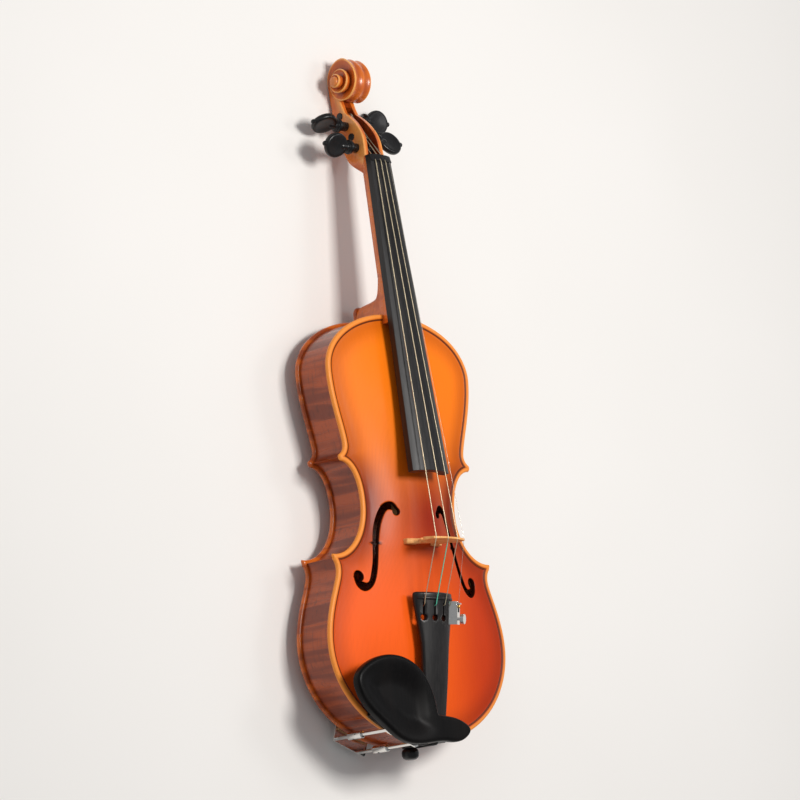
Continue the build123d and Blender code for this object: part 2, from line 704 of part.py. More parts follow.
with BuildPart() as tail_outline:
    with BuildSketch(tail_plane.offset(-20)):
        with BuildLine():
            Line((0, 0), (tailpiece_head_half - 2, 0))
            RadiusArc((tailpiece_head_half - 2, 0), (tailpiece_head_half, -2), 2)
            Bezier((tailpiece_head_half, -2), (tailpiece_head_half - 2.5, -20),
                   (tailpiece_waist_half + 1.5, -tailpiece_length * 0.42),
                   (tailpiece_waist_half, -tailpiece_length * 0.7))
            Line((tailpiece_waist_half, -tailpiece_length * 0.7), (tailpiece_tip_half, 3 - tailpiece_length))
            RadiusArc((tailpiece_tip_half, 3 - tailpiece_length), (tailpiece_tip_half - 3, -tailpiece_length), 3)
            Line((tailpiece_tip_half - 3, -tailpiece_length), (0, -tailpiece_length))
            mirror(about=Plane.YZ)
        make_face()
    extrude(amount=20 + fret_height + 1)


def tail_surface(x, distance, lift):
    """A point over the tailpiece's top: across, from the head, and out along its arch."""
    outer = tailpiece_radius + lift
    return tail_plane.from_local_coords(
        Vector(outer * x / tailpiece_radius, -distance,
               outer * sqrt(tailpiece_radius ** 2 - x ** 2) / tailpiece_radius - tailpiece_radius))


# ---- strings, from the ball in the tailpiece to the coil on the peg ----------------------------------
bridge_top_radius, bridge_crown_out, bridge_crown = 41.5, -1.4, 50.6


def bridge_top(x):
    """Height of the bridge's top edge over the belly's glue line."""
    return bridge_crown - bridge_top_radius + sqrt(bridge_top_radius ** 2 - (x - bridge_crown_out) ** 2)


def touch_point(point, centre, radius):
    """Where a line from a point (Y, Z) touches the upper side of a circle in the middle plane."""
    away = Vector(point.Y - centre.Y, point.Z - centre.Z, 0)
    turn = atan2(away.Y, away.X)
    swing = acos(radius / away.length)
    angle = turn + swing if sin(turn + swing) > sin(turn - swing) else turn - swing
    return Vector(centre.X, centre.Y + radius * cos(angle), centre.Z + radius * sin(angle))


string_order = ["g_peg", "d_peg", "a_peg", "e_peg"]
strings = {}
for number, (name, radius) in enumerate(zip(string_names, string_radius)):
    share = number / 3 - 0.5
    side, up, drop, turn = peg_places[string_order[number]]
    nut_x = nut_spread * share
    nut_height = fingerboard_side + nut_lift + crown(fingerboard_nut_width / 2) - crown(abs(nut_x))
    over_nut = nut_point + neck_up * (nut_height + radius * 0.4) + Vector(nut_x, 0, 0)
    over_bridge = Vector(bridge_spread * share, bridge_y, rib_top + bridge_top(bridge_spread * share))
    coil_x = 0.62 * (pegbox_half(up) - pegbox_cheek) * (-1 if share < 0 else 1) * (1 if abs(share) > 0.4 else 0.6)
    inner = peg_taper(side * coil_x) + peg_fit
    peg_centre = Vector(coil_x, upper_edge + up, rib_top - drop)
    on_peg = touch_point(over_nut, peg_centre, inner + coil_sink * radius)
    fret_x = fret_spread * share
    if name == "e_string":
        route = [tail_surface(fret_x, tuner_fork_down, tuner_fork_height), over_bridge, over_nut, on_peg]
        bends = [string_bend, string_bend]
    else:
        lift = radius + 0.1
        route = [tail_surface(fret_x, keyhole_down - 8, -tailpiece_wall - 0.9),
                 tail_surface(fret_x, keyhole_down - 11, lift + 0.4),
                 tail_surface(fret_x, fret_down + fret_width / 2, fret_height + radius * 0.4),
                 over_bridge, over_nut, on_peg]
        bends = [1.6, string_bend, string_bend, string_bend]
    with BuildPart() as string:
        with BuildLine() as string_line:
            FilletPolyline(*route, radius=bends)
        with BuildSketch(Plane(origin=route[0], z_dir=string_line.line % 0)):
            Circle(radius)
        sweep()
        with BuildSketch(Plane.YZ.offset(coil_x - 3 * radius)):
            with Locations((peg_centre.Y, peg_centre.Z)):
                Circle(inner + 2 * coil_sink * radius)
                Circle(inner, mode=Mode.SUBTRACT)
        extrude(amount=6 * radius)
    route_length = string_line.wire().length
    print(name, "runs", round(route_length, 1), "section x length", round(pi * radius ** 2 * route_length, 1))
    strings[name] = string
    finish(string, name)

with BuildPart() as all_strings:
    for string in strings.values():
        add(string.part)
with BuildPart() as cut_nut:
    add(nut.part)
    add(all_strings.part, mode=Mode.SUBTRACT)
finish(cut_nut, "nut")

# ---- bridge: its outline, thinned towards the top, fitted to the belly and notched by the strings ----
bridge_low = edge_top + 6
with BuildPart() as bridge:
    with BuildSketch(Plane.XZ.offset(-bridge_y)):
        with BuildLine():
            foot = bridge_foot_half
            shoulder = foot - 1.5
            edge = [(foot - 10.5, bridge_low), (foot, bridge_low), (foot, rib_top + 17.8),
                    (foot - 1.4, rib_top + 18.9), (foot - 6, rib_top + 20.6), (foot - 8.4, rib_top + 23.6),
                    (foot - 8.2, rib_top + 27.4), (foot - 5.4, rib_top + 28.2), (foot - 8.6, rib_top + 31),
                    (foot - 5.4, rib_top + 33.8), (foot - 1.0, rib_top + 35.2), (foot - 0.9, rib_top + 39.5)]
            Polyline((foot - 11.2, rib_top + 20), *edge, (shoulder, rib_top + bridge_top(shoulder)))
            ThreePointArc((shoulder, rib_top + bridge_top(shoulder)), (bridge_crown_out, rib_top + bridge_crown),
                          (-shoulder, rib_top + bridge_top(-shoulder)))
            Polyline((-shoulder, rib_top + bridge_top(-shoulder)), *[(-x, z) for x, z in reversed(edge)],
                     (11.2 - foot, rib_top + 20))
            ThreePointArc((11.2 - foot, rib_top + 20), (0, rib_top + 25), (foot - 11.2, rib_top + 20))
        make_face()
        with Locations((-1.9, rib_top + 34.2), (1.9, rib_top + 34.2)):
            Circle(2.4, mode=Mode.SUBTRACT)
        with Locations((0, rib_top + 31.4)):
            Rectangle(1.6, 5, mode=Mode.SUBTRACT)
    extrude(amount=bridge_foot_depth, both=True)
    with BuildSketch(Plane.YZ):
        tail_face = bridge_y - bridge_top_depth / 2
        Polygon((tail_face, bridge_low), (tail_face + bridge_foot_depth, bridge_low),
                (tail_face + bridge_foot_depth, rib_top + 18),
                (tail_face + bridge_top_depth, rib_top + bridge_crown), (tail_face + bridge_top_depth, rib_top + 60),
                (tail_face, rib_top + 60), align=None)
    extrude(amount=bridge_foot_half + 1, both=True, mode=Mode.INTERSECT)
    add(below_belly_top, mode=Mode.SUBTRACT)
    add(all_strings.part, mode=Mode.SUBTRACT)
finish(bridge, "bridge")

# ---- tail cord, its nuts and the tailpiece -----------------------------------------------------------
gut_height = -(tailpiece_wall + gut_nut_radius + 0.8)
gut_start = tail_plane.from_local_coords(Vector(gut_half_spread, -tailpiece_length + 17, gut_height))
gut_leave = tail_plane.from_local_coords(Vector(gut_half_spread, -tailpiece_length - 2, gut_height))
saddle_top = edge_top + saddle_height
groove_y = lower_edge + overhang - button_collar - groove_length / 2
gut_low_x = button_neck_radius + gut_radius + gut_clearance
with BuildPart() as tail_gut:
    with BuildLine() as gut_line:
        right_side = [gut_start, gut_leave,
                      Vector(gut_low_x, lower_edge + saddle_depth, saddle_top + gut_radius + gut_clearance + 0.2),
                      Vector(gut_low_x, groove_y, saddle_top + gut_radius + gut_clearance),
                      Vector(gut_low_x, groove_y, centre_z - gut_low_x)]
        left_side = [Vector(-p.X, p.Y, p.Z) for p in reversed(right_side)]
        low_bend = gut_low_x - 0.05
        FilletPolyline(*right_side, *left_side, radius=[4, 5, 2.2, low_bend, low_bend, 2.2, 5, 4])
    with BuildSketch(Plane(origin=gut_start, z_dir=gut_line.line % 0)):
        Circle(gut_radius)
    sweep()
finish(tail_gut, "tail_gut")
print("tail gut runs", round(gut_line.wire().length, 1), "section x length",
      round(pi * gut_radius ** 2 * gut_line.wire().length, 1))

block_start = tailpiece_length - 13
with BuildPart() as tailpiece:
    add(tail_outline.part)
    add(arched_wall(-1, tailpiece_length + 1, tailpiece_radius, 0), mode=Mode.INTERSECT)
    add(arched_wall(-1, block_start, tailpiece_radius - tailpiece_wall, 0), mode=Mode.SUBTRACT)
    with BuildSketch(tail_plane.offset(-tip_block_depth)):
        Rectangle(4 * tailpiece_head_half, 3 * tailpiece_length)
    extrude(amount=-20, mode=Mode.SUBTRACT)
with BuildPart() as fret:
    add(tail_outline.part)
    add(arched_wall(fret_down, fret_down + fret_width, tailpiece_radius + fret_height, tailpiece_radius),
        mode=Mode.INTERSECT)
with BuildPart() as tailpiece_done:
    add(tailpiece.part)
    add(fret.part)
    with BuildSketch(tail_plane):
        for number in range(4):
            with Locations((fret_spread * (number / 3 - 0.5), -keyhole_down)):
                Circle(keyhole_radius)
            with Locations((fret_spread * (number / 3 - 0.5), -keyhole_down + 6)):
                SlotOverall(13, 2 * keyhole_slot, rotation=90)
    extrude(amount=-20, both=True, mode=Mode.SUBTRACT)
    add(tail_gut.part, mode=Mode.SUBTRACT)
    add(all_strings.part, mode=Mode.SUBTRACT)
finish(tailpiece_done, "tailpiece")

gut_along = (gut_leave - gut_start).normalized()
with BuildPart() as gut_nuts:
    for side in (-1, 1):
        start = Vector(side * gut_start.X, gut_start.Y, gut_start.Z)
        with BuildSketch(Plane(origin=start, z_dir=gut_along)):
            Circle(gut_nut_radius)
            Circle(gut_radius, mode=Mode.SUBTRACT)
        extrude(amount=gut_nut_length)
finish(gut_nuts, "tail_gut_nuts")

# ---- pegs --------------------------------------------------------------------------------------------
for name, (side, up, drop, turn) in peg_places.items():
    plane = peg_plane(side, up, drop, turn)
    thin_end = -(pegbox_half(up) + 0.8)
    with BuildPart() as peg:
        add(tapered_rod(plane, thin_end, peg_collar_out, 0))
        with BuildSketch(plane.offset(peg_collar_out)):
            Circle(peg_collar_radius)
        extrude(amount=peg_collar_length, taper=8)
        with BuildSketch(plane.offset(peg_collar_out + peg_collar_length - 0.5)):
            Circle(peg_thick)
        extrude(amount=4)
        head_plane = Plane(origin=plane.origin, x_dir=plane.z_dir, z_dir=plane.y_dir)
        head_out = peg_collar_out + peg_collar_length + peg_head_length / 2 + 1
        with BuildSketch(head_plane):
            with Locations((head_out, 0)):
                Ellipse(peg_head_length / 2, peg_head_half)
        extrude(amount=peg_head_thickness / 2, both=True)
        with BuildSketch(head_plane):
            with Locations((head_out + peg_head_length / 2 - 0.5, 0)):
                Circle(2.2)
        extrude(amount=2.2, both=True)
    finish(peg, name)

# ---- chin rest: a dished plate over the tailpiece's end, standing on cork ----------------------------
chin_low = rib_top + chin_base_height
with BuildSketch() as chin_plan:
    with BuildLine():
        cup_edge = Spline(down(-12, 336), down(-17, 316), down(-34, 296), down(-60, 289), down(-86, 295),
                          down(-101.5, 309), down(-96, 327), down(-74, 346), down(-50, 359.5),
                          tangents=((-0.1, 1), (1, -0.25)))
        Spline(cup_edge @ 1, down(-4, 358), down(20, 355), down(26.5, 348), down(18, 341), down(-12, 336),
               tangents=((1, -0.25), (-1, 0.2)))
    make_face()
with BuildSketch() as chin_foot_plan:
    add(plate.sketch)
    add(inset_outline(chin_foot_depth), mode=Mode.SUBTRACT)
    add(chin_plan.sketch, mode=Mode.INTERSECT)
    with Locations(down(-lower_half - saddle_half - 1.5, body_length)):
        Rectangle(2 * lower_half, 40, mode=Mode.INTERSECT)
with BuildPart() as chin_cork:
    with BuildSketch(Plane.XY.offset(edge_top - 0.5)):
        add(chin_foot_plan.sketch)
    extrude(amount=chin_cork_thickness + 0.5)
    add(below_belly_top, mode=Mode.SUBTRACT)
finish(chin_cork, "chin_rest_cork")
with BuildPart() as chin_blank:
    with BuildSketch(Plane.XY.offset(chin_low)):
        add(chin_plan.sketch)
    extrude(amount=chin_thickness)
    with BuildSketch(Plane.XY.offset(edge_top + chin_cork_thickness)):
        add(chin_foot_plan.sketch)
    extrude(amount=chin_low - edge_top - chin_cork_thickness)
    with Locations((*down(chin_dish_out, chin_dish_down), chin_low + chin_thickness - chin_dish_depth
                    + chin_dish_radius)):
        Sphere(chin_dish_radius, mode=Mode.SUBTRACT)

# ---- chin rest clamp: upper bracket, two barrels and the foot under the back's edge ------------------
clamp_edge = lower_bout @ clamp_share
clamp_tangent = lower_bout % clamp_share
clamp_along = Vector(-clamp_tangent.X, clamp_tangent.Y, 0).normalized()
clamp_middle = Vector(-clamp_edge.X, clamp_edge.Y, 0)
print("clamp at", clamp_middle.X, clamp_middle.Y - upper_edge)
leg_out = clamp_gap + barrel_radius
leg_places = [(side * clamp_leg_spread / 2, leg_out) for side in (-1, 1)]
bracket_length = clamp_leg_spread + 2 * barrel_radius + 1
bracket_width = 2 * barrel_radius
back_low = rib_low - plate_edge


def clamp_plane(height):
    """X along the body's edge at the clamp, Y outwards from it, Z down from a height over the floor."""
    return Plane(origin=clamp_middle + Vector(0, 0, height), x_dir=clamp_along, z_dir=(0, 0, -1))


barrel_top = rib_low + rib_height * 0.75
barrel_low = barrel_top - barrel_length
foot_top = back_low - clamp_seat - clamp_cork
with BuildPart() as clamp_bracket:
    with BuildSketch(clamp_plane(chin_low)):
        with Locations((0, leg_out)):
            RectangleRounded(bracket_length, bracket_width, barrel_radius - 0.2)
        with Locations([(side * clamp_screw_spread / 2, leg_out) for side in (-1, 1)]):
            Circle(clamp_screw_radius + screw_clearance, mode=Mode.SUBTRACT)
    extrude(amount=clamp_plate)
    with BuildSketch(clamp_plane(chin_low - clamp_plate)):
        with Locations(*leg_places):
            Circle(rod_radius)
    extrude(amount=chin_low - clamp_plate - barrel_top + rod_engagement)
finish(clamp_bracket, "clamp_bracket")
with BuildPart() as clamp_screws:
    with BuildSketch(clamp_plane(chin_low - clamp_plate)):
        with Locations([(side * clamp_screw_spread / 2, leg_out) for side in (-1, 1)]):
            Circle(clamp_screw_head)
    extrude(amount=1.2)
    with BuildSketch(clamp_plane(chin_low - clamp_plate)):
        with Locations([(side * clamp_screw_spread / 2, leg_out) for side in (-1, 1)]):
            Circle(clamp_screw_radius)
    extrude(amount=-(clamp_plate + clamp_screw_depth))
finish(clamp_screws, "clamp_screws")
with BuildPart() as chin_rest:
    add(chin_blank.part)
    add(clamp_screws.part, mode=Mode.SUBTRACT)
finish(chin_rest, "chin_rest")
for side, name in ((-1, "clamp_barrel_bass"), (1, "clamp_barrel_treble")):
    with BuildPart() as barrel:
        with BuildSketch(clamp_plane(barrel_top)):
            with Locations((side * clamp_leg_spread / 2, leg_out)):
                Circle(barrel_radius)
                Circle(rod_radius + thread_fit, mode=Mode.SUBTRACT)
        extrude(amount=barrel_length)
        chamfer(barrel.edges().filter_by(GeomType.CIRCLE).filter_by(
            lambda edge: edge.radius > barrel_radius - 0.1), 0.6)
        for level, direction in ((0.38, clamp_along), (0.62, clamp_along.rotate(Axis.Z, 90))):
            middle = (clamp_plane(barrel_top).from_local_coords(
                Vector(side * clamp_leg_spread / 2, leg_out, barrel_length * level)))
            with BuildSketch(Plane(origin=middle, x_dir=(0, 0, 1), z_dir=direction)):
                Circle(key_hole_radius)
            extrude(amount=barrel_radius + 1, both=True, mode=Mode.SUBTRACT)
    finish(barrel, name)
with BuildPart() as clamp_foot:
    with BuildSketch(clamp_plane(foot_top)):
        with Locations((0, (leg_out + barrel_radius - clamp_foot_depth) / 2)):
            RectangleRounded(bracket_length, leg_out + barrel_radius + clamp_foot_depth, 2)
    extrude(amount=clamp_plate)
    with BuildSketch(clamp_plane(foot_top)):
        with Locations(*leg_places):
            Circle(rod_radius)
    extrude(amount=-(barrel_low + rod_engagement - foot_top))
finish(clamp_foot, "clamp_foot")
with BuildPart() as clamp_cork_strip:
    with BuildSketch(clamp_plane(foot_top)):
        with Locations((0, -clamp_foot_depth / 2)):
            Rectangle(bracket_length - 4, clamp_foot_depth - 2)
    extrude(amount=-clamp_cork)
finish(clamp_cork_strip, "clamp_foot_cork")

# ---- E string tuner: a channel on the tailpiece, its lever on a pin and its screw --------------------
tuner_x = fret_spread / 2
tuner_tilt = asin(tuner_x / tailpiece_radius)
tuner_up = (tail_plane.z_dir * cos(tuner_tilt) + tail_plane.x_dir * sin(tuner_tilt)).normalized()
tuner_side = (tail_plane.x_dir * cos(tuner_tilt) - tail_plane.z_dir * sin(tuner_tilt)).normalized()
tuner_origin = tail_surface(tuner_x, 0, 0)


def tuner_section(across):
    """A plane along the tuner, X away from the head, Y out of the tailpiece, at a distance across."""
    return Plane(origin=tuner_origin + tuner_side * across, x_dir=tail_along, z_dir=tail_along.cross(tuner_up))


def tuner_level(lift):
    """A plane over the tailpiece under the tuner, X across, Y towards the head."""
    return Plane(origin=tuner_origin + tuner_up * lift, x_dir=tuner_side, z_dir=tuner_up)


def bar_shape(points, width, across=0.0):
    """A bar with the given side outline, centred across the tuner."""
    with BuildPart() as bar:
        with BuildSketch(tuner_section(across)):
            Polygon(*points, align=None)
        extrude(amount=width / 2, both=True)
    return bar.part


pin_at = (tuner_start + 3.0, tuner_floor + 2.9)
screw_at = tuner_start + tuner_length - 4.5
roof = tuner_floor + tuner_height
with BuildPart() as tuner_frame:
    add(bar_shape([(tuner_start, 0.0), (tuner_start + tuner_length, 0.0), (tuner_start + tuner_length, roof),
                   (screw_at - 4.5, roof), (tuner_start + 4.5, roof), (tuner_start, roof - 1.5)], tuner_width))
    add(bar_shape([(tuner_start - 1, tuner_floor), (tuner_start + tuner_length - 1.2, tuner_floor),
                   (tuner_start + tuner_length - 1.2, roof - 1.3), (tuner_start + 9, roof - 1.3),
                   (tuner_start + 9, roof + 1), (tuner_start - 1, roof + 1)],
                  tuner_width - 2 * tuner_wall), mode=Mode.SUBTRACT)
    with BuildSketch(tuner_section(0)):
        with Locations(pin_at):
            Circle(tuner_pin_radius)
    extrude(amount=tuner_width, both=True, mode=Mode.SUBTRACT)
    with BuildSketch(tuner_level(roof + 1)):
        with Locations((0, -screw_at)):
            Circle(tuner_screw_radius + tuner_fit)
    extrude(amount=-3, mode=Mode.SUBTRACT)
    # the stud that goes down through the keyhole
    with BuildSketch(tuner_level(0)):
        with Locations((0, -keyhole_down)):
            Circle(stud_radius)
    extrude(amount=-(tailpiece_wall + stud_nut_length + 0.6))
    add(tailpiece_done.part, mode=Mode.SUBTRACT)
finish(tuner_frame, "tuner_frame")

lever_half = tuner_width / 2 - tuner_wall - lever_play
arm_top = pin_at[1] + lever_thickness / 2
arm_low = pin_at[1] - lever_thickness / 2
fork_back = tuner_fork_down + fork_gap
with BuildPart() as tuner_lever:
    add(bar_shape([(fork_back - lever_thickness, tuner_fork_height + 1.8), (fork_back, tuner_fork_height + 1.8),
                   (fork_back, arm_top + 0.8), (pin_at[0] + 1.6, arm_top), (screw_at + 1.6, arm_top),
                   (screw_at + 1.6, arm_low), (pin_at[0], arm_low - 0.8), (fork_back - lever_thickness, arm_low)],
                  2 * lever_half))
    add(bar_shape([(fork_back - 3, tuner_fork_height - 0.8), (fork_back + 3, tuner_fork_height - 0.8),
                   (fork_back + 3, tuner_fork_height + 3), (fork_back - 3, tuner_fork_height + 3)], 0.8),
        mode=Mode.SUBTRACT)
    with BuildSketch(tuner_section(0)):
        with Locations(pin_at):
            Circle(tuner_pin_radius + tuner_fit)
    extrude(amount=tuner_width, both=True, mode=Mode.SUBTRACT)
finish(tuner_lever, "tuner_lever")
with BuildPart() as tuner_pin:
    with BuildSketch(tuner_section(0)):
        with Locations(pin_at):
            Circle(tuner_pin_radius)
    extrude(amount=tuner_width / 2, both=True)
finish(tuner_pin, "tuner_pin")
with BuildPart() as string_ball:
    with Locations(tuner_level(tuner_fork_height).from_local_coords(Vector(0, -fork_back - ball_radius, 0))):
        Sphere(ball_radius)
finish(string_ball, "e_string_ball")
screw_tip = arm_top + 0.15
with BuildPart() as tuner_screw:
    with BuildSketch(tuner_level(screw_tip)):
        with Locations((0, -screw_at)):
            Circle(tuner_screw_radius)
    extrude(amount=roof + tuner_screw_travel + 0.6 - screw_tip)
    with BuildSketch(tuner_level(roof + tuner_screw_travel + 0.6)):
        with Locations((0, -screw_at)):
            Circle(tuner_head_radius)
            with PolarLocations(tuner_head_radius + 0.1, 12):
                Circle(0.45, mode=Mode.SUBTRACT)
    extrude(amount=tuner_head_length)
finish(tuner_screw, "tuner_screw")
with BuildPart() as stud_nut:
    with BuildSketch(tuner_level(-tailpiece_wall - 0.4)):
        with Locations((0, -keyhole_down)):
            Circle(stud_nut_radius)
            Circle(stud_radius, mode=Mode.SUBTRACT)
    extrude(amount=-stud_nut_length)
finish(stud_nut, "tuner_nut")
print("tuner screw axis", tuner_level(0).from_local_coords(Vector(0, -screw_at, 0)), tuner_up)
print("tuner pin axis", tuner_section(0).from_local_coords(Vector(*pin_at, 0)), tuner_side)
for name, (side, up, drop, turn) in peg_places.items():
    print(name, "axis", peg_plane(side, up, drop, turn).origin, side)
for side in (-1, 1):
    print("barrel axis", clamp_plane(barrel_top).from_local_coords(
        Vector(side * clamp_leg_spread / 2, leg_out, 0)))
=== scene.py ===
"""A full-size violin, finished over its measured frame.

Lengths are worked out in millimetres and put into the meshes in metres. X runs to the treble side, Y towards
the scroll and Z out of the belly.
"""
import math

import bmesh
import bpy
import numpy as np
from mathutils import Matrix, Vector
from mathutils.geometry import delaunay_2d_cdt


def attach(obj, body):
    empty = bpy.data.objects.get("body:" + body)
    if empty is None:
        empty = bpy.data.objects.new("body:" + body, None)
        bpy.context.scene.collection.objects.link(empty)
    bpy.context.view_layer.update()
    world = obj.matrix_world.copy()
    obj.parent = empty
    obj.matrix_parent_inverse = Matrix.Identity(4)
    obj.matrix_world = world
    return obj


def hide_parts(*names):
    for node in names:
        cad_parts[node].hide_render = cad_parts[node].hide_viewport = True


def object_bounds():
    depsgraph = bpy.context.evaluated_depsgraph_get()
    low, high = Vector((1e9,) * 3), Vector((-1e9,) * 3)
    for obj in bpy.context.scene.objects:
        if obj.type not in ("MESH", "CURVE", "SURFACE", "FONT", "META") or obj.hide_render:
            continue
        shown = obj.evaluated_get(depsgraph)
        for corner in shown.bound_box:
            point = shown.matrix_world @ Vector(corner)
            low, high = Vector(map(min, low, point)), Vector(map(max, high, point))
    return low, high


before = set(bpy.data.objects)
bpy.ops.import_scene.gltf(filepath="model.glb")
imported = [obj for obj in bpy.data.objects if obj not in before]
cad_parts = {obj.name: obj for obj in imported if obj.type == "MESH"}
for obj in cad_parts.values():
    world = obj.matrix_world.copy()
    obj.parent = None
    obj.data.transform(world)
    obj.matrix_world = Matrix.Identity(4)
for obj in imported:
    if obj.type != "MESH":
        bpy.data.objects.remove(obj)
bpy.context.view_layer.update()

MM = 0.001

# ---- the violin's own sizes --------------------------------------------------------------------------
upper_edge = 71.5
body_length = 356.0
upper_half, upper_down = 84.0, 50.0
waist_half, waist_down = 55.0, 163.0
lower_half, lower_down = 104.0, 276.0
rib_low, rib_top = 15.0, 46.0
plate_edge = 4.0
belly_rise = 12.0
back_rise = 11.0
edge_land = 7.0
bead_radius = 1.9
channel_depth = 0.9
channel_start, channel_bottom, channel_end = 2.3, 6.2, 16.0
purfling_near, purfling_far = 4.0, 5.3
board_length = 269.0
board_near_width, board_widening = 24.0, 18.5
nut_point = np.array([201.5, 41.1])
neck_angle = math.atan2(14.9, 130.0)
neck_up = np.array([math.sin(neck_angle), math.cos(neck_angle)])
neck_down = np.array([-math.cos(neck_angle), math.sin(neck_angle)])
handle_length = 99.5
eye_y, eye_z = 275.0, 17.0
bridge_y = upper_edge - 194.0
weld_gap = 0.002


# ---- curves ------------------------------------------------------------------------------------------
def bezier(points, count):
    """A cubic curve through its end points, pulled towards its two middle points; the last point left out."""
    t = (np.arange(count) / count)[:, None]
    a, b, c, d = [np.array(p, float) for p in points]
    return (1 - t) ** 3 * a + 3 * (1 - t) ** 2 * t * b + 3 * (1 - t) * t ** 2 * c + t ** 3 * d


def smooth_line(points, count, start=None, end=None):
    """A natural cubic spline through points by chord length, or with given end directions."""
    p = np.array(points, float)
    gaps = np.linalg.norm(np.diff(p, axis=0), axis=1)
    s = np.concatenate([[0.0], np.cumsum(gaps)])
    n = len(p)
    matrix = np.zeros((n, n))
    right = np.zeros((n, p.shape[1]))
    inner = np.arange(1, n - 1)
    matrix[inner, inner - 1] = 1 / gaps[:-1]
    matrix[inner, inner] = 2 * (1 / gaps[:-1] + 1 / gaps[1:])
    matrix[inner, inner + 1] = 1 / gaps[1:]
    rise = np.diff(p, axis=0) / gaps[:, None]
    right[1:-1] = 3 * (rise[:-1] / gaps[:-1, None] + rise[1:] / gaps[1:, None])
    for row, other, given, slope in ((0, 1, start, rise[0]), (n - 1, n - 2, end, rise[-1])):
        matrix[row, row] = 2 if given is None else 1
        matrix[row, other] = 1 if given is None else 0
        right[row] = 3 * slope if given is None else np.array(given, float)
    pull = np.linalg.solve(matrix, right)
    at = np.linspace(0, s[-1], count)
    k = np.clip(np.searchsorted(s, at, side="right") - 1, 0, n - 2)
    h = gaps[k][:, None]
    t = ((at - s[k]) / gaps[k])[:, None]
    return ((2 * t ** 3 - 3 * t ** 2 + 1) * p[k] + (t ** 3 - 2 * t ** 2 + t) * h * pull[k]
            + (3 * t ** 2 - 2 * t ** 3) * p[k + 1] + (t ** 3 - t ** 2) * h * pull[k + 1])


def even_steps(loop, step):
    """A closed line walked in equal steps."""
    closed = np.vstack([loop, loop[:1]])
    s = np.concatenate([[0.0], np.cumsum(np.linalg.norm(np.diff(closed, axis=0), axis=1))])
    at = np.linspace(0, s[-1], max(8, int(s[-1] / step)), endpoint=False)
    return np.stack([np.interp(at, s, closed[:, 0]), np.interp(at, s, closed[:, 1])], 1)


def keep_corners(loop, step, corners):
    """A closed line walked in steps between its corners, which stay sharp."""
    nearest = [int(np.argmin(np.linalg.norm(loop - np.array(c), axis=1))) for c in corners]
    marks = sorted(set(nearest))
    rolled = np.roll(loop, -marks[0], axis=0)
    stops = [m - marks[0] for m in marks] + [len(loop)]
    rolled = np.vstack([rolled, rolled[:1]])
    pieces = []
    for near, far in zip(stops[:-1], stops[1:]):
        run = rolled[near:far + 1]
        s = np.concatenate([[0.0], np.cumsum(np.linalg.norm(np.diff(run, axis=0), axis=1))])
        at = np.linspace(0, s[-1], max(2, round(s[-1] / step) + 1))[:-1]
        pieces.append(np.stack([np.interp(at, s, run[:, 0]), np.interp(at, s, run[:, 1])], 1))
    return np.vstack(pieces)


def ease(share):
    """A smooth step from 0 to 1."""
    return (1 - np.cos(np.pi * np.clip(share, 0, 1))) / 2


def between(low, high, value):
    """How far a value has gone from low to high, eased."""
    return ease((value - low) / (high - low))


# ---- meshes ------------------------------------------------------------------------------------------
def grid_quads(rows, columns, round_columns=True, round_rows=False):
    """Four-sided faces between neighbours of a grid stored row by row."""
    i = np.arange(rows if round_rows else rows - 1)[:, None]
    j = np.arange(columns if round_columns else columns - 1)[None, :]
    near, far = i * columns, ((i + 1) % rows) * columns
    step = (j + 1) % columns
    return np.stack([near + j, near + step, far + step, far + j], -1).reshape(-1, 4)


def make_piece(name, points, faces, node, finish, slot, body="violin", sharp=38.0, marks=None):
    """A piece that stands for a node: from points in millimetres and faces, welded and turned outwards.

    It is shaded smooth except where two faces meet at more than the sharp angle. Marks are values or colours,
    one for each point, that the finish reads.
    """
    mesh = bpy.data.meshes.new(name)
    mesh.from_pydata((np.asarray(points, float) * MM).tolist(), [], [list(map(int, f)) for f in faces])
    for key, values in (marks or {}).items():
        values = np.asarray(values, float)
        is_colour = values.ndim == 2
        layer = mesh.attributes.new(key, "FLOAT_COLOR" if is_colour else "FLOAT", "POINT")
        layer.data.foreach_set("color" if is_colour else "value", values.ravel())
    work = bmesh.new()
    work.from_mesh(mesh)
    bmesh.ops.remove_doubles(work, verts=work.verts, dist=weld_gap * MM)
    bmesh.ops.dissolve_degenerate(work, edges=work.edges, dist=weld_gap / 4 * MM)
    bmesh.ops.recalc_face_normals(work, faces=work.faces)
    work.to_mesh(mesh)
    work.free()
    mesh.shade_smooth()
    mesh.set_sharp_from_angle(angle=math.radians(sharp))
    mesh.materials.append(finishes[finish])
    piece = bpy.data.objects.new(name, mesh)
    bpy.context.scene.collection.objects.link(piece)
    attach(piece, body)
    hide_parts(node)


def joined(*solids):
    """Several closed solids, each given as its points and faces, as the points and faces of one piece."""
    all_points, all_faces = [], []
    count = 0
    for points, faces in solids:
        all_points.append(points)
        all_faces += [tuple(np.array(f) + count) for f in faces]
        count += len(points)
    return np.vstack(all_points), all_faces


def capped_tube(rows):
    """Points and faces of a closed tube given as rings, its two ends closed with flat faces."""
    count, around = rows.shape[:2]
    faces = [tuple(q) for q in grid_quads(count, around)]
    faces.append(tuple(range(around)))
    faces.append(tuple((count - 1) * around + np.arange(around)))
    return rows.reshape(-1, 3), faces


def turned(profile, around=48):
    """A turned shape: a line of (along, radius) carried round an axis, as rings of (along, a, b)."""
    p = np.array(profile, float)
    angle = np.arange(around) / around * 2 * np.pi
    along = np.repeat(p[:, :1], around, 1)
    return np.stack([along, p[:, 1:] * np.cos(angle), p[:, 1:] * np.sin(angle)], -1)


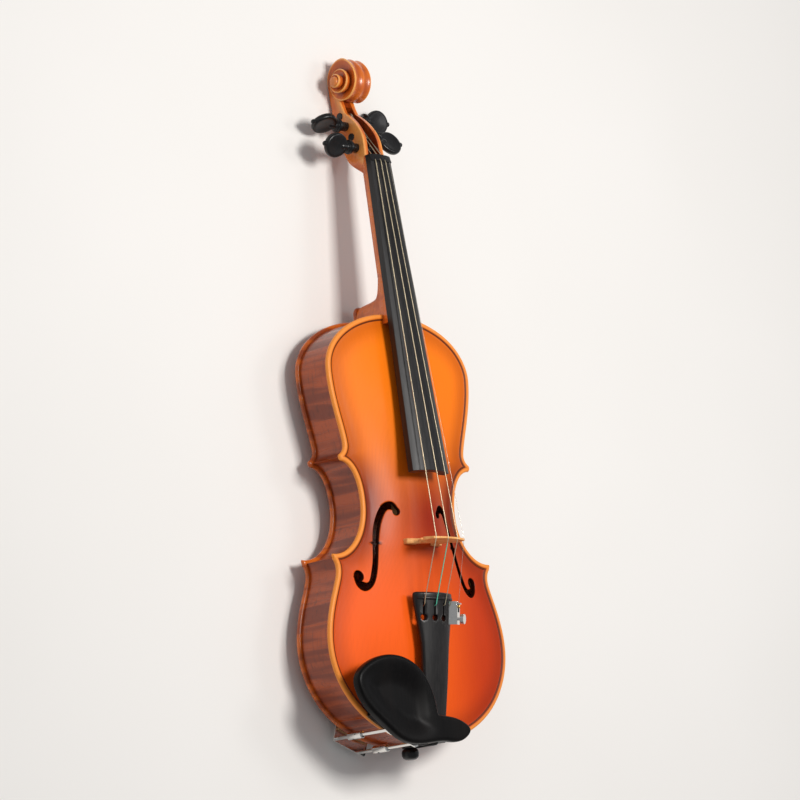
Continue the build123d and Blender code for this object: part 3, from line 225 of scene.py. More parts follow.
def inside(points, loop):
    """Which points lie inside a closed line, by counting the sides that a level ray crosses."""
    x, y = points[:, 0], points[:, 1]
    found = np.zeros(len(points), bool)
    following = np.roll(loop, -1, axis=0)
    for (ax, ay), (bx, by) in zip(loop, following):
        if ay != by:
            crosses = ((ay > y) != (by > y)) & (x < (bx - ax) * (y - ay) / (by - ay) + ax)
            found ^= crosses
    return found


def distance_to(points, loop):
    """Distance from each point to the nearest side of a closed line."""
    a, b = loop, np.roll(loop, -1, axis=0)
    side = b - a
    length = np.maximum((side ** 2).sum(1), 1e-12)
    result = np.empty(len(points))
    for start in range(0, len(points), 2000):
        p = points[start:start + 2000, None, :]
        t = np.clip(((p - a) * side).sum(-1) / length, 0, 1)
        result[start:start + 2000] = np.sqrt((((a + t[..., None] * side) - p) ** 2).sum(-1).min(1))
    return result


def inwards(loop):
    """Unit directions square to a closed line at its points, towards its inside."""
    run = np.roll(loop, -1, axis=0) - np.roll(loop, 1, axis=0)
    run /= np.maximum(np.linalg.norm(run, axis=1), 1e-9)[:, None]
    area = (loop[:, 0] * np.roll(loop[:, 1], -1) - np.roll(loop[:, 0], -1) * loop[:, 1]).sum()
    return np.stack([-run[:, 1], run[:, 0]], 1) * np.sign(area)


def plan_mesh(outline, insets, spacing, holes=(), hole_insets=(), lines=()):
    """Triangles over a flat shape: its outline, rings at set distances inside it, and an even filling.

    Gives the points, the triangles, and each point's distance from the outline and from the holes.
    """
    points, edges = [outline], []
    total = len(outline)
    ring = np.arange(total)
    edges.append(np.stack([ring, np.roll(ring, -1)], 1))
    for hole in holes:
        ring = np.arange(len(hole)) + total
        edges.append(np.stack([ring, np.roll(ring, -1)], 1))
        points.append(hole)
        total += len(hole)
    direction = inwards(outline)
    for inset in insets:
        ring = outline + direction * inset
        good = (distance_to(ring, outline) > inset - 0.02) & inside(ring, outline)
        for hole in holes:
            good &= (distance_to(ring, hole) > 0.5) & ~inside(ring, hole)
        kept = np.flatnonzero(good)
        if inset in lines:
            place = np.full(len(outline), -1)
            place[kept] = np.arange(len(kept)) + total
            pairs = np.stack([place, np.roll(place, -1)], 1)
            edges.append(pairs[(pairs >= 0).all(1)])
        points.append(ring[kept])
        total += len(kept)
    for hole in holes:
        outwards = -inwards(hole)
        for inset in hole_insets:
            ring = hole + outwards * inset
            good = np.ones(len(ring), bool)
            for other in holes:
                good &= (distance_to(ring, other) > inset - 0.02) & ~inside(ring, other)
            points.append(ring[good])
    low, high = outline.min(0), outline.max(0)
    xs = np.arange(low[0], high[0], spacing)
    ys = np.arange(low[1], high[1], spacing * 0.866)
    grid_x, grid_y = np.meshgrid(xs, ys)
    grid_x = grid_x + (np.arange(len(ys)) % 2)[:, None] * spacing / 2
    fill = np.stack([grid_x.ravel(), grid_y.ravel()], 1)
    clear = max(insets, default=0) + spacing * 0.5
    good = inside(fill, outline) & (distance_to(fill, outline) > clear)
    for hole in holes:
        good &= (distance_to(fill, hole) > max(hole_insets, default=0) + spacing * 0.4) & ~inside(fill, hole)
    points.append(fill[good])
    points = np.vstack(points)
    given = [Vector(p) for p in points.tolist()]
    made = delaunay_2d_cdt(given, [tuple(map(int, e)) for e in np.vstack(edges)], [], 0, 1e-5)
    plan = np.array([(v.x, v.y) for v in made[0]])
    triangles = np.array([f for f in made[2] if len(f) == 3])
    middle = plan[triangles].mean(1)
    wanted = inside(middle, outline)
    for hole in holes:
        wanted &= ~inside(middle, hole)
    edge = distance_to(plan, outline)
    rim = np.full(len(plan), 1e3)
    for hole in holes:
        rim = np.minimum(rim, distance_to(plan, hole))
    return plan, triangles[wanted], edge, rim


def shell(triangles, top, bottom):
    """A closed shell: a top sheet, a bottom sheet and the walls between their borders.

    Gives the points, the faces, and which points of the plan each sheet uses.
    """
    used = np.unique(triangles)
    place = np.full(len(top), -1)
    place[used] = np.arange(len(used))
    sheet = place[triangles]
    count = len(used)
    sides = np.vstack([sheet[:, [0, 1]], sheet[:, [1, 2]], sheet[:, [2, 0]]])
    keys = np.sort(sides, 1)
    _, first, seen = np.unique(keys, axis=0, return_index=True, return_counts=True)
    border = sides[first[seen == 1]]
    walls = np.stack([border[:, 1], border[:, 0], border[:, 0] + count, border[:, 1] + count], 1)
    faces = [tuple(f) for f in sheet] + [tuple(f) for f in sheet[:, ::-1] + count] + [tuple(f) for f in walls]
    return np.vstack([top[used], bottom[used]]), faces, used


def roll(distance, radius):
    """How far a rounded edge has dropped, at a distance in from the edge."""
    left = radius - np.clip(distance, 0, radius)
    return radius - np.sqrt(np.maximum(radius ** 2 - left ** 2, 0))


# ---- colours and finishes ----------------------------------------------------------------------------
def tone(red, green, blue):
    """A colour as it should look, from 0 to 255, turned into the shader's own scale."""
    value = np.array([red, green, blue]) / 255
    linear = np.where(value <= 0.04045, value / 12.92, ((value + 0.055) / 1.055) ** 2.4)
    return (*[float(v) for v in linear], 1.0)


class Finish:
    """A material built up node by node round one principled shader."""

    def __init__(self, name, roughness=0.4, metallic=0.0, coat=0.0, coat_roughness=0.1, specular=0.5,
                 ior=1.5):
        self.material = bpy.data.materials.new(name)
        self.material.use_nodes = True
        self.tree = self.material.node_tree
        self.tree.nodes.clear()
        self.output = self.tree.nodes.new("ShaderNodeOutputMaterial")
        self.shader = self.tree.nodes.new("ShaderNodeBsdfPrincipled")
        self.tree.links.new(self.shader.outputs[0], self.output.inputs[0])
        self.shader.inputs["Roughness"].default_value = roughness
        self.shader.inputs["Metallic"].default_value = metallic
        self.shader.inputs["Coat Weight"].default_value = coat
        self.shader.inputs["Coat Roughness"].default_value = coat_roughness
        self.shader.inputs["Specular IOR Level"].default_value = specular
        self.shader.inputs["IOR"].default_value = ior
        self.place = self.tree.nodes.new("ShaderNodeTexCoord").outputs["Object"]

    def fold_in_half(self):
        """Mirrors the pattern about the middle, as two halves cut from one wedge and opened like a book."""
        apart = self.tree.nodes.new("ShaderNodeSeparateXYZ")
        self.link(self.place, apart.inputs[0])
        together = self.tree.nodes.new("ShaderNodeCombineXYZ")
        self.link(self.maths("ABSOLUTE", apart.outputs[0]), together.inputs[0])
        self.link(apart.outputs[1], together.inputs[1])
        self.link(apart.outputs[2], together.inputs[2])
        self.place = together.outputs[0]

    def link(self, source, target):
        """Joins an output to an input, or sets a plain value."""
        if isinstance(source, bpy.types.NodeSocket):
            self.tree.links.new(source, target)
        else:
            target.default_value = source

    def stretched(self, scale, turn=(0, 0, 0)):
        """Object coordinates, scaled differently along each axis and turned."""
        node = self.tree.nodes.new("ShaderNodeMapping")
        node.inputs["Scale"].default_value = scale
        node.inputs["Rotation"].default_value = turn
        self.link(self.place, node.inputs["Vector"])
        return node.outputs[0]

    def noise(self, vector, scale=1.0, detail=3.0, rough=0.5, twist=0.0):
        """A noise value between 0 and 1."""
        node = self.tree.nodes.new("ShaderNodeTexNoise")
        self.link(vector, node.inputs["Vector"])
        node.inputs["Scale"].default_value = scale
        node.inputs["Detail"].default_value = detail
        node.inputs["Roughness"].default_value = rough
        node.inputs["Distortion"].default_value = twist
        return node.outputs[0]

    def mark(self, name):
        """The value or colour that a mesh carries at its points."""
        node = self.tree.nodes.new("ShaderNodeAttribute")
        node.attribute_name = name
        return node

    def axis(self, letter):
        """One of the object coordinates."""
        node = self.tree.nodes.new("ShaderNodeSeparateXYZ")
        self.link(self.place, node.inputs[0])
        return node.outputs[letter]

    def span(self, value, low, high, out_low=0.0, out_high=1.0, smooth=True):
        """A value's way from low to high, stretched over the out values."""
        node = self.tree.nodes.new("ShaderNodeMapRange")
        node.interpolation_type = "SMOOTHSTEP" if smooth else "LINEAR"
        self.link(value, node.inputs[0])
        for socket, number in zip((1, 2, 3, 4), (low, high, out_low, out_high)):
            node.inputs[socket].default_value = number
        return node.outputs[0]

    def maths(self, operation, first, second=0.0):
        """Arithmetic on one or two values."""
        node = self.tree.nodes.new("ShaderNodeMath")
        node.operation = operation
        self.link(first, node.inputs[0])
        self.link(second, node.inputs[1])
        return node.outputs[0]

    def mix(self, share, first, second, way="MIX"):
        """Two colours mixed by a share."""
        node = self.tree.nodes.new("ShaderNodeMix")
        node.data_type = "RGBA"
        node.blend_type = way
        self.link(share, node.inputs[0])
        self.link(first, node.inputs[6])
        self.link(second, node.inputs[7])
        return node.outputs[2]

    def paint(self, colour):
        """Sets the colour."""
        self.link(colour, self.shader.inputs["Base Color"])
        return self

    def gloss(self, value):
        """Sets the roughness from a varying value."""
        self.link(value, self.shader.inputs["Roughness"])
        return self

    def relief(self, height, depth, strength=1.0, coat=False):
        """A fine relief, its depth in metres."""
        node = self.tree.nodes.new("ShaderNodeBump")
        node.inputs["Strength"].default_value = strength
        node.inputs["Distance"].default_value = depth
        self.link(height, node.inputs["Height"])
        self.link(node.outputs[0], self.shader.inputs["Normal"])
        if coat:
            self.link(node.outputs[0], self.shader.inputs["Coat Normal"])
        return self


def spruce_grain(finish):
    """Fine lines along the belly: winter grain narrow and dark, closer towards the centre joint."""
    waver = finish.noise(finish.stretched((18, 3, 18)), 1.0, 2.0)
    across = finish.axis("X")
    shifted = finish.maths("ADD", across, finish.span(waver, 0, 1, -0.0012, 0.0012, False))
    rings = finish.maths("SINE", finish.maths("MULTIPLY", shifted, 5200.0))
    fine = finish.noise(finish.stretched((900, 14, 900)), 1.0, 2.0, 0.6)
    return finish.maths("ADD", finish.span(rings, -1, 1, 0.0, 0.55), finish.maths("MULTIPLY", fine, 0.5))


def flame(finish, scale, turn):
    """The curl in maple: soft bands lying across the grain, broken and uneven."""
    bands = finish.noise(finish.stretched(scale, turn), 1.0, 2.0, 0.45, 0.6)
    return finish.span(bands, 0.36, 0.64)


def varnished_spruce():
    """The belly's varnish: its colour from the mesh, lined by the grain, clouded, and plain on the bead."""
    finish = Finish("belly_varnish", 0.36, coat=0.05, coat_roughness=0.18, specular=0.15)
    grain = spruce_grain(finish)
    base = finish.mark("varnish").outputs["Color"]
    light = finish.mix(1.0, base, (1.05, 1.05, 1.03, 1.0), "MULTIPLY")
    dark = finish.mix(1.0, base, (0.9, 0.84, 0.77, 1.0), "MULTIPLY")
    grained = finish.mix(finish.span(grain, 0.15, 0.8), dark, light)
    grained = finish.mix(finish.span(finish.mark("edge").outputs["Fac"], 1.6, 3.4), base, grained)
    cloud = finish.noise(finish.stretched((7, 3, 7)), 1.0, 3.0)
    rich = finish.mix(1.0, grained, (0.86, 0.78, 0.7, 1.0), "MULTIPLY")
    colour = finish.mix(finish.span(cloud, 0.4, 0.75, 0.0, 0.45), grained, rich)
    finish.paint(colour)
    finish.gloss(finish.span(finish.noise(finish.stretched((60, 20, 60)), 1.0, 3.0), 0.3, 0.7, 0.34, 0.44))
    finish.relief(grain, 0.00004, 0.5)
    return finish.material


def varnished_maple(name, base, deep, scale, turn, marked=False, weight=0.75, two_halves=False):
    """Flamed maple under varnish: light and deep bands, small pores, and, if marked, the mesh's own tint,
    with painted shade and painted edge highlights where the mesh carries them.
    """
    finish = Finish(name, 0.33, coat=0.35, coat_roughness=0.16, specular=0.38)
    if two_halves:
        finish.fold_in_half()
    curl = flame(finish, scale, turn)
    pores = finish.noise(finish.stretched((420, 40, 420)), 1.0, 3.0, 0.6)
    light, dark = tone(*base), tone(*deep)
    colour = finish.mix(finish.maths("MULTIPLY", curl, weight), light, dark)
    flecks = finish.span(pores, 0.5, 0.78, 0.0, 0.55)
    colour = finish.mix(flecks, colour, tone(*[v * 0.62 for v in deep]))
    if marked:
        colour = finish.mix(1.0, colour, finish.mark("varnish").outputs["Color"], "MULTIPLY")
        # Painted highlight: pale orange along the head's edges.
        colour = finish.mix(finish.mark("edge_highlight").outputs["Fac"], colour, tone(248, 176, 96))
    if two_halves:
        joint = finish.span(finish.axis("X"), 0.0001, 0.0004, 0.45, 0.0)
        colour = finish.mix(joint, colour, tone(70, 24, 8))
    finish.paint(colour)
    finish.gloss(finish.span(curl, 0, 1, 0.26, 0.36))
    finish.relief(pores, 0.00003, 0.4)
    return finish.material


def bare_wood(name, base, deep, scale=(500, 30, 500)):
    """Wood without varnish: grain drawn out along its length, with darker flecks."""
    finish = Finish(name, 0.62, specular=0.3)
    grain = finish.noise(finish.stretched(scale), 1.0, 4.0, 0.6)
    flecks = finish.noise(finish.stretched((900, 160, 900)), 1.0, 2.0)
    colour = finish.mix(finish.span(grain, 0.3, 0.7), tone(*base), tone(*deep))
    colour = finish.mix(finish.span(flecks, 0.58, 0.75, 0.0, 0.4), colour, tone(*[v * 0.72 for v in deep]))
    finish.paint(colour)
    finish.relief(grain, 0.00004, 0.5)
    return finish.material


def ebony(name, base, deep, rough, coat=0.0, specular=0.35):
    """Black wood with a low sheen: a faint grain, and paler clouds that are a little rougher."""
    finish = Finish(name, 0.38, specular=specular, coat=coat, coat_roughness=0.2)
    grain = finish.noise(finish.stretched((700, 25, 700)), 1.0, 4.0, 0.6)
    cloud = finish.noise(finish.stretched((40, 12, 40)), 1.0, 3.0)
    colour = finish.mix(finish.span(grain, 0.35, 0.7), tone(*deep), tone(*base))
    pale = tone(base[0] + 14, base[1] + 9, base[2] + 7)
    colour = finish.mix(finish.span(cloud, 0.5, 0.8, 0.0, 0.35), colour, pale)
    finish.paint(colour)
    finish.gloss(finish.span(cloud, 0.3, 0.7, *rough))
    finish.relief(grain, 0.00003, 0.4)
    return finish.material


def metal(name, base, deep, rough, scale=(240, 240, 240)):
    """Plated or drawn metal with fine scratches, which dull it a little."""
    finish = Finish(name, rough, metallic=1.0)
    scratch = finish.noise(finish.stretched(scale), 1.0, 4.0, 0.6)
    colour = finish.mix(finish.span(scratch, 0.5, 0.8, 0.0, 0.22), tone(*base), tone(*deep))
    finish.paint(colour)
    finish.gloss(finish.span(scratch, 0.3, 0.75, rough * 0.85, rough * 1.2))
    finish.relief(scratch, 0.000004, 0.15)
    return finish.material


silk_start = -0.1265


def wound_string(name, base, deep, silk=None):
    """A wound string: fine turns along its length, and on some a coloured silk at the tail end."""
    finish = Finish(name, 0.34, metallic=0.9)
    along = finish.axis("Y")
    turns = finish.maths("SINE", finish.maths("MULTIPLY", along, 24000.0))
    speck = finish.noise(finish.stretched((1500, 300, 1500)), 1.0, 2.0)
    colour = finish.mix(finish.span(turns, -1, 1, 0.0, 0.4), tone(*base), tone(*deep))
    colour = finish.mix(finish.span(speck, 0.45, 0.8, 0.0, 0.3), colour, tone(*deep))
    if silk:
        tail = finish.span(along, silk_start, silk_start - 0.002, 0.0, 1.0)
        colour = finish.mix(tail, colour, tone(*silk))
        finish.link(finish.span(tail, 0, 1, 0.9, 0.0), finish.shader.inputs["Metallic"])
        finish.gloss(finish.span(tail, 0, 1, 0.34, 0.7))
    finish.paint(colour)
    finish.relief(turns, 0.00002, 0.4)
    return finish.material


def cork():
    """Cork board: pale cells with darker ones between them, and a rough face."""
    finish = Finish("cork_board", 0.85, specular=0.2)
    cells = finish.noise(finish.stretched((700, 700, 700)), 1.0, 4.0, 0.65)
    colour = finish.mix(finish.span(cells, 0.35, 0.65), tone(150, 104, 66), tone(196, 150, 104))
    finish.paint(colour)
    finish.relief(cells, 0.0001, 0.6)
    return finish.material


def cord_nylon():
    """The tail cord: black nylon, streaked along its length."""
    finish = Finish("tail_cord", 0.45, specular=0.4)
    streak = finish.noise(finish.stretched((1200, 120, 1200)), 1.0, 3.0)
    finish.paint(finish.mix(streak, tone(20, 19, 20), tone(48, 46, 47)))
    finish.relief(streak, 0.00003, 0.4)
    return finish.material


def purfling_strip():
    """Three strips of wood side by side: dyed, pale and dyed."""
    finish = Finish("purfling_strips", 0.45, coat=0.04, coat_roughness=0.2, specular=0.15)
    edge = finish.mark("edge").outputs["Fac"]
    into = finish.span(edge, purfling_near + 0.34, purfling_near + 0.46)
    out = finish.span(edge, purfling_far - 0.46, purfling_far - 0.34, 1.0, 0.0)
    streak = finish.noise(finish.stretched((300, 300, 300)), 1.0, 3.0)
    dyed = finish.mix(streak, tone(38, 14, 8), tone(58, 22, 12))
    pale = finish.mix(streak, tone(112, 50, 18), tone(132, 62, 24))
    finish.paint(finish.mix(finish.maths("MULTIPLY", into, out), dyed, pale))
    finish.relief(streak, 0.00002, 0.3)
    return finish.material


finishes = {
    "belly": varnished_spruce(),
    "rib": varnished_maple("rib_varnish", (176, 76, 26), (104, 34, 12), (120, 120, 10), (0, 0, 0)),
    "head": varnished_maple("head_varnish", (226, 118, 38), (186, 78, 22), (60, 90, 60), (0, 0, 0.3),
                            marked=True, weight=0.6),
    "back": varnished_maple("back_varnish", (228, 116, 36), (150, 60, 20), (9, 120, 30), (0, 0, 0.16),
                            marked=True, weight=0.8, two_halves=True),
    "purfling": purfling_strip(),
    "spruce": bare_wood("inside_spruce", (214, 176, 120), (186, 146, 92)),
    "bridge": bare_wood("bridge_maple", (246, 186, 116), (222, 150, 84), (160, 500, 120)),
    "ebony": ebony("ebony_satin", (30, 28, 28), (12, 11, 12), (0.30, 0.46)),
    "board": ebony("ebony_board", (34, 32, 33), (20, 19, 20), (0.30, 0.40)),
    "tail": ebony("ebony_tail", (32, 29, 29), (16, 14, 14), (0.30, 0.42)),
    "chin": ebony("ebony_chin", (12, 10, 10), (5, 4, 4), (0.30, 0.44), specular=0.12),
    "peg": ebony("ebony_peg", (22, 21, 22), (9, 8, 9), (0.24, 0.4), coat=0.15, specular=0.3),
    "wound": wound_string("wound_string", (226, 210, 178), (150, 134, 104)),
    "wound_silk": wound_string("wound_string_silk", (226, 210, 178), (150, 134, 104), silk=(88, 190, 160)),
    "plain": metal("plain_string", (220, 212, 196), (160, 150, 132), 0.25, (1500, 60, 1500)),
    "cord": cord_nylon(),
    "cork": cork(),
    "brass": metal("brass_small", (214, 170, 92), (150, 108, 48), 0.28),
    "nickel": metal("nickel_small", (226, 224, 220), (176, 174, 170), 0.13),
    "clamp": metal("clamp_nickel", (228, 226, 222), (176, 174, 170), 0.12),
}

nodes_in = {
    "rib": "upper_rib_bass upper_rib_treble centre_rib_bass centre_rib_treble lower_rib",
    "spruce": "neck_block end_block corner_blocks belly_linings back_linings bass_bar sound_post",
    "belly": "belly",
    "back": "back",
    "purfling": "belly_purfling back_purfling",
    "head": "neck",
    "board": "fingerboard",
    "ebony": "nut saddle end_button",
    "peg": "g_peg d_peg a_peg e_peg",
    "bridge": "bridge",
    "tail": "tailpiece",
    "chin": "chin_rest",
    "wound": "g_string a_string",
    "wound_silk": "d_string",
    "plain": "e_string",
    "brass": "e_string_ball tail_gut_nuts",
    "cord": "tail_gut",
    "cork": "chin_rest_cork clamp_foot_cork",
    "nickel": "tuner_frame tuner_lever tuner_pin tuner_screw tuner_nut",
    "clamp": "clamp_bracket clamp_screws clamp_barrel_bass clamp_barrel_treble clamp_foot",
}
for finish, nodes in nodes_in.items():
    for node in nodes.split():
        cad = bpy.data.objects[node]
        if not cad.material_slots:
            cad.data.materials.append(None)
        for holder in cad.material_slots:
            holder.material = finishes[finish]


# ---- belly and back ----------------------------------------------------------------------------------
def plan(x, below):
    """A point of the plan, given as a distance down from the upper edge."""
    return (x, upper_edge - below)


def half_outline():
    """The treble half of the outline, from the middle of the upper edge down to the middle of the lower."""
    curves = [
        ((0, 0), (46.37, 0), (upper_half, 22.4), (upper_half, upper_down)),
        ((upper_half, upper_down), (upper_half, 75), (72.5, 100), (71, 113)),
        ((71, 113), (70.54, 117), (73, 120.5), (77.5, 122.5)),
        ((77.5, 122.5), (77.1, 124), (76.7, 125.5), (76.3, 127)),
        ((76.3, 127), (64, 127), (waist_half, 141), (waist_half, waist_down)),
        ((waist_half, waist_down), (waist_half, 186), (72, 206), (93, 204.5)),
        ((93, 204.5), (92.5, 206.1), (92.1, 207.8), (91.6, 209.4)),
        ((91.6, 209.4), (88.2, 212.9), (88, 218.5), (90, 224)),
        ((90, 224), (94.8, 237.2), (lower_half, 255), (lower_half, lower_down)),
        ((lower_half, lower_down), (lower_half, 320), (60, body_length), (0, body_length)),
    ]
    run = np.vstack([bezier([plan(*p) for p in curve], 160) for curve in curves])
    return np.vstack([run, [plan(0, body_length)]])


def whole(run):
    """A half line from one middle point to another, closed by its mirror image."""
    mirror = run[1:-1][::-1] * np.array([-1, 1])
    return np.vstack([run, mirror])


corners = ((77.5, 122.5), (76.3, 127), (93, 204.5), (91.6, 209.4))
corner_places = [plan(side * x, below) for side in (-1, 1) for x, below in corners]
fine_outline = whole(half_outline())
outline_step = 1.35
button_half, button_top, button_round, button_root = 10.5, 12.5, 6.0, 0.35


def back_outline():
    """The belly's outline with the heel's button standing out of the middle of its upper edge."""
    treble = half_outline()
    past = treble[treble[:, 0] > button_half]
    turn = np.linspace(0, np.pi / 2, 9)
    button_arc = np.stack([button_half - button_round + button_round * np.sin(turn),
                           upper_edge + button_top - button_round + button_round * np.cos(turn)], 1)
    foot = plan(button_half, button_root)
    run = whole(np.vstack([[plan(0, -button_top)], button_arc, [foot], past]))
    return keep_corners(run, outline_step, corner_places + [plan(-button_half, button_root), foot])


def arch_half(below):
    """Half the width over which a plate is arched, at a distance down from the upper edge."""
    narrowing = (upper_half - waist_half) * between(upper_down, waist_down, below)
    widening = (lower_half - waist_half) * between(waist_down, lower_down, below)
    return upper_half - narrowing + widening - edge_land


def arch(x, y):
    """Height of the arching as a share of its crown: full in the middle, easing to nothing at the edges."""
    below = upper_edge - y
    along = np.abs(2 * (below - edge_land) / (body_length - 2 * edge_land) - 1)
    across = np.abs(x) / arch_half(below)
    return (1 - np.minimum(along, 1) ** 3) ** 1.4 * (1 - np.minimum(across, 1) ** 2.2) ** 1.6


def carving(distance):
    """How far the plate's surface sits under its edge: a rounded bead, then a shallow channel."""
    rises = between(channel_bottom, channel_end, distance)
    falls = between(channel_start, channel_bottom, distance) * (1 - rises)
    return roll(distance, bead_radius) + channel_depth * falls


def belly_top(x, y, distance):
    """Height of the belly: its edge, raised by the arching and lowered by the carving."""
    return rib_top + plate_edge + belly_rise * arch(x, y) - carving(distance)


def circle(x, y, radius, count=40):
    """A round line."""
    angle = np.arange(count) / count * 2 * np.pi
    return np.stack([x + radius * np.cos(angle), y + radius * np.sin(angle)], 1)


def sound_hole(side):
    """The closed lines that together make one sound hole: the curved slot, its two eyes and its nicks."""
    outer = smooth_line([(22.6, 165.2), (27.5, 159.8), (34.0, 160.6), (40.5, 168.5), (45.6, 182.0),
                         (48.2, 194.0), (50.5, 207.0), (54.5, 220.0), (59.5, 227.5), (64.5, 226.2)], 90)
    inner = smooth_line([(71.4, 222.5), (69.8, 229.5), (63.5, 234.3), (56.0, 231.5), (49.5, 221.0),
                         (45.5, 206.0), (43.0, 194.0), (40.0, 182.0), (35.5, 170.8), (30.8, 165.8),
                         (26.6, 167.0)], 90)
    slot = np.vstack([outer, inner])
    slot = np.stack([side * slot[:, 0], upper_edge - slot[:, 1]], 1)
    loops = [slot, circle(side * 24.4, upper_edge - 167.6, 3.2), circle(side * 66.6, upper_edge - 222.0, 4.7)]
    for edge_x, point_x in ((42.5, 44.6), (48.7, 46.6)):
        nick = [(edge_x, 193.0), (point_x, 194.0), (edge_x, 195.0)]
        loops.append(np.array([plan(side * x, below) for x, below in nick]))
    return loops


def laid_over(colour, top, share):
    """A colour laid over others, point by point, by a share from 0 to 1."""
    return colour * (1 - share[:, None]) + np.array(tone(*top)[:3]) * share[:, None]


def hump(value, middle, width):
    """A bell curve: 1 in the middle, falling away on both sides."""
    return np.exp(-((value - middle) / width) ** 2)


def sunburst(x, y, distance):
    """The varnish: amber above, crimson through the waist, orange below, browner at the edges; painted shade
    deepens the middle under the strings and partly reddens the treble flank, and the pale bead is partly
    painted highlight.
    """
    below = upper_edge - y
    amber = np.tile(tone(252, 126, 14)[:3], (len(x), 1))
    colour = laid_over(amber, (252, 98, 18), between(110, 250, below))
    # Crimson through the C-bouts is the sunburst; the extra depth in the middle under the strings and
    # fingerboard is painted shade.
    waist = hump(below, 172, 50) * (0.42 + 0.52 * hump(x, 14, 32))
    colour = laid_over(colour, (138, 22, 6), waist)
    # Redder treble flank: partly the varnish's own colour, partly painted shade for the side seen more
    # steeply.
    flank = between(5, 80, x) * between(140, 230, below) * 0.75
    colour = laid_over(colour, (178, 38, 8), flank)
    shade = (1 - between(purfling_far, 28.0, distance)) * (0.38 + 0.55 * hump(below, 165, 42))
    colour = laid_over(colour, (116, 30, 6), shade)
    # Pale bead: partly varnish worn thin on the edge, partly a painted highlight where the bead catches the
    # light.
    colour = laid_over(colour, (240, 146, 62), 1 - between(2.6, 4.0, distance))
    return np.hstack([colour, np.ones((len(x), 1))])


def both_sheets(values):
    """The same marks on a shell's top sheet and on its bottom one."""
    return np.concatenate([values, values])


def purfling_triangles(triangles, edge):
    """Which triangles of a plate's plan lie wholly within the purfling's width."""
    slack = 0.02
    return (edge[triangles] > purfling_near - slack).all(1) & (edge[triangles] < purfling_far + slack).all(1)


def purfling(name, triangles, surface, edge, lift, node):
    """The inlaid strip: a thin band lying in the plate a given distance from its edge."""
    points, faces, used = shell(triangles, surface + [0, 0, lift], surface - [0, 0, 12 * lift])
    make_piece(name, points, faces, node, "purfling", "purfling_wood", sharp=50,
               marks={"edge": both_sheets(edge[used])})


plate_rings = [0.12, 0.45, 1.0, 1.9, 2.6, 3.3, purfling_near, 4.65, purfling_far, 6.2, 7.6, 9.4, 11.6]
purfling_lines = (purfling_near, purfling_far)
purfling_lift = 0.04
glue_strip = 4.0
thinnest = 0.05


def belly_plate():
    """Two sheets over one plan: the arched top with its carved edge, and the hollow under it.

    The sound holes go right through, with their edges a little rounded and their walls dark.
    """
    outline = keep_corners(fine_outline, outline_step, corner_places)
    holes = sound_hole(-1) + sound_hole(1)
    flat, triangles, edge, rim = plan_mesh(outline, plate_rings, 2.6, holes, (0.35, 1.2), purfling_lines)
    x, y = flat[:, 0], flat[:, 1]
    top = np.stack([x, y, belly_top(x, y, edge) - 0.35 * (1 - between(0.0, 0.35, rim))], 1)
    rounded = rib_top + roll(edge, bead_radius)
    hollow = np.maximum(rounded, rib_top - 0.05 + 13 * arch(x, y))
    hollow = np.where(edge < glue_strip, rounded, hollow)
    under = np.stack([x, y, np.minimum(hollow, top[:, 2] - thinnest)], 1)
    points, faces, used = shell(triangles, top, under)
    hole_wall = (1 - between(0.05, 0.35, rim))[:, None]
    colours = sunburst(x, y, edge) * (1 - hole_wall) + np.array(tone(46, 15, 6)) * hole_wall
    make_piece("belly_plate", points, faces, "belly", "belly", "varnished_spruce", sharp=50,
               marks={"varnish": both_sheets(colours[used]), "edge": both_sheets(edge[used])})
    strip = purfling_triangles(triangles, edge)
    purfling("belly_purfling_band", triangles[strip], top, edge, purfling_lift, "belly_purfling")


def back_plate():
    """The same two sheets turned over, with no holes, and with the heel's button at the upper edge."""
    flat, triangles, edge, _ = plan_mesh(back_outline(), plate_rings, 3.0, (), (), purfling_lines)
    x, y = flat[:, 0], flat[:, 1]
    outside = rib_low - plate_edge - back_rise * arch(x, y) + carving(edge)
    outer = np.stack([x, y, np.maximum(outside, 0.0)], 1)
    hollow = np.minimum(rib_low + 0.05 - 10.5 * arch(x, y), rib_low)
    hollow = np.where(edge < glue_strip, rib_low - roll(edge, bead_radius), hollow)
    inner = np.stack([x, y, np.maximum(hollow, outer[:, 2] + thinnest)], 1)
    points, faces, used = shell(triangles, inner, outer)
    # Darker towards the edges as the varnish is; the paler bead is partly worn varnish, partly a painted
    # highlight.
    shade = 0.62 + 0.38 * between(3.0, 34.0, edge) + 0.2 * (1 - between(2.6, 4.0, edge))
    tint = np.stack([shade, shade ** 1.35, shade ** 1.6, np.ones_like(shade)], 1)
    make_piece("back_plate", points, faces, "back", "back", "varnished_maple", sharp=50,
               marks={"varnish": both_sheets(tint[used]), "edge_highlight": np.zeros(2 * len(used))})
    clear_of_button = (y[triangles] < upper_edge - 3.0).all(1) | (np.abs(x[triangles]) > 9.0).all(1)
    strip = purfling_triangles(triangles, edge) & clear_of_button
    purfling("back_purfling_band", triangles[strip], outer, edge, -purfling_lift, "back_purfling")


belly_plate()
back_plate()


# ---- neck: handle, heel, pegbox and scroll -----------------------------------------------------------
def neck_across(distance, height):
    """A point of the middle plane (Y, Z), at a distance from the nut and a height over the glue face."""
    return nut_point + neck_down * distance + neck_up * height


def rounded_u(power, count=41):
    """Half of a squared circle: its run across from -1 to 1, and its depth from 0 to 1."""
    angle = np.linspace(-np.pi / 2, np.pi / 2, count)
    run = np.sign(np.sin(angle)) * np.abs(np.sin(angle)) ** (2 / power)
    return run, np.abs(np.cos(angle)) ** (2 / power)


def board_half(distance):
    """Half the fingerboard's width at a distance from the nut."""
    return (board_near_width + board_widening * distance / board_length) / 2


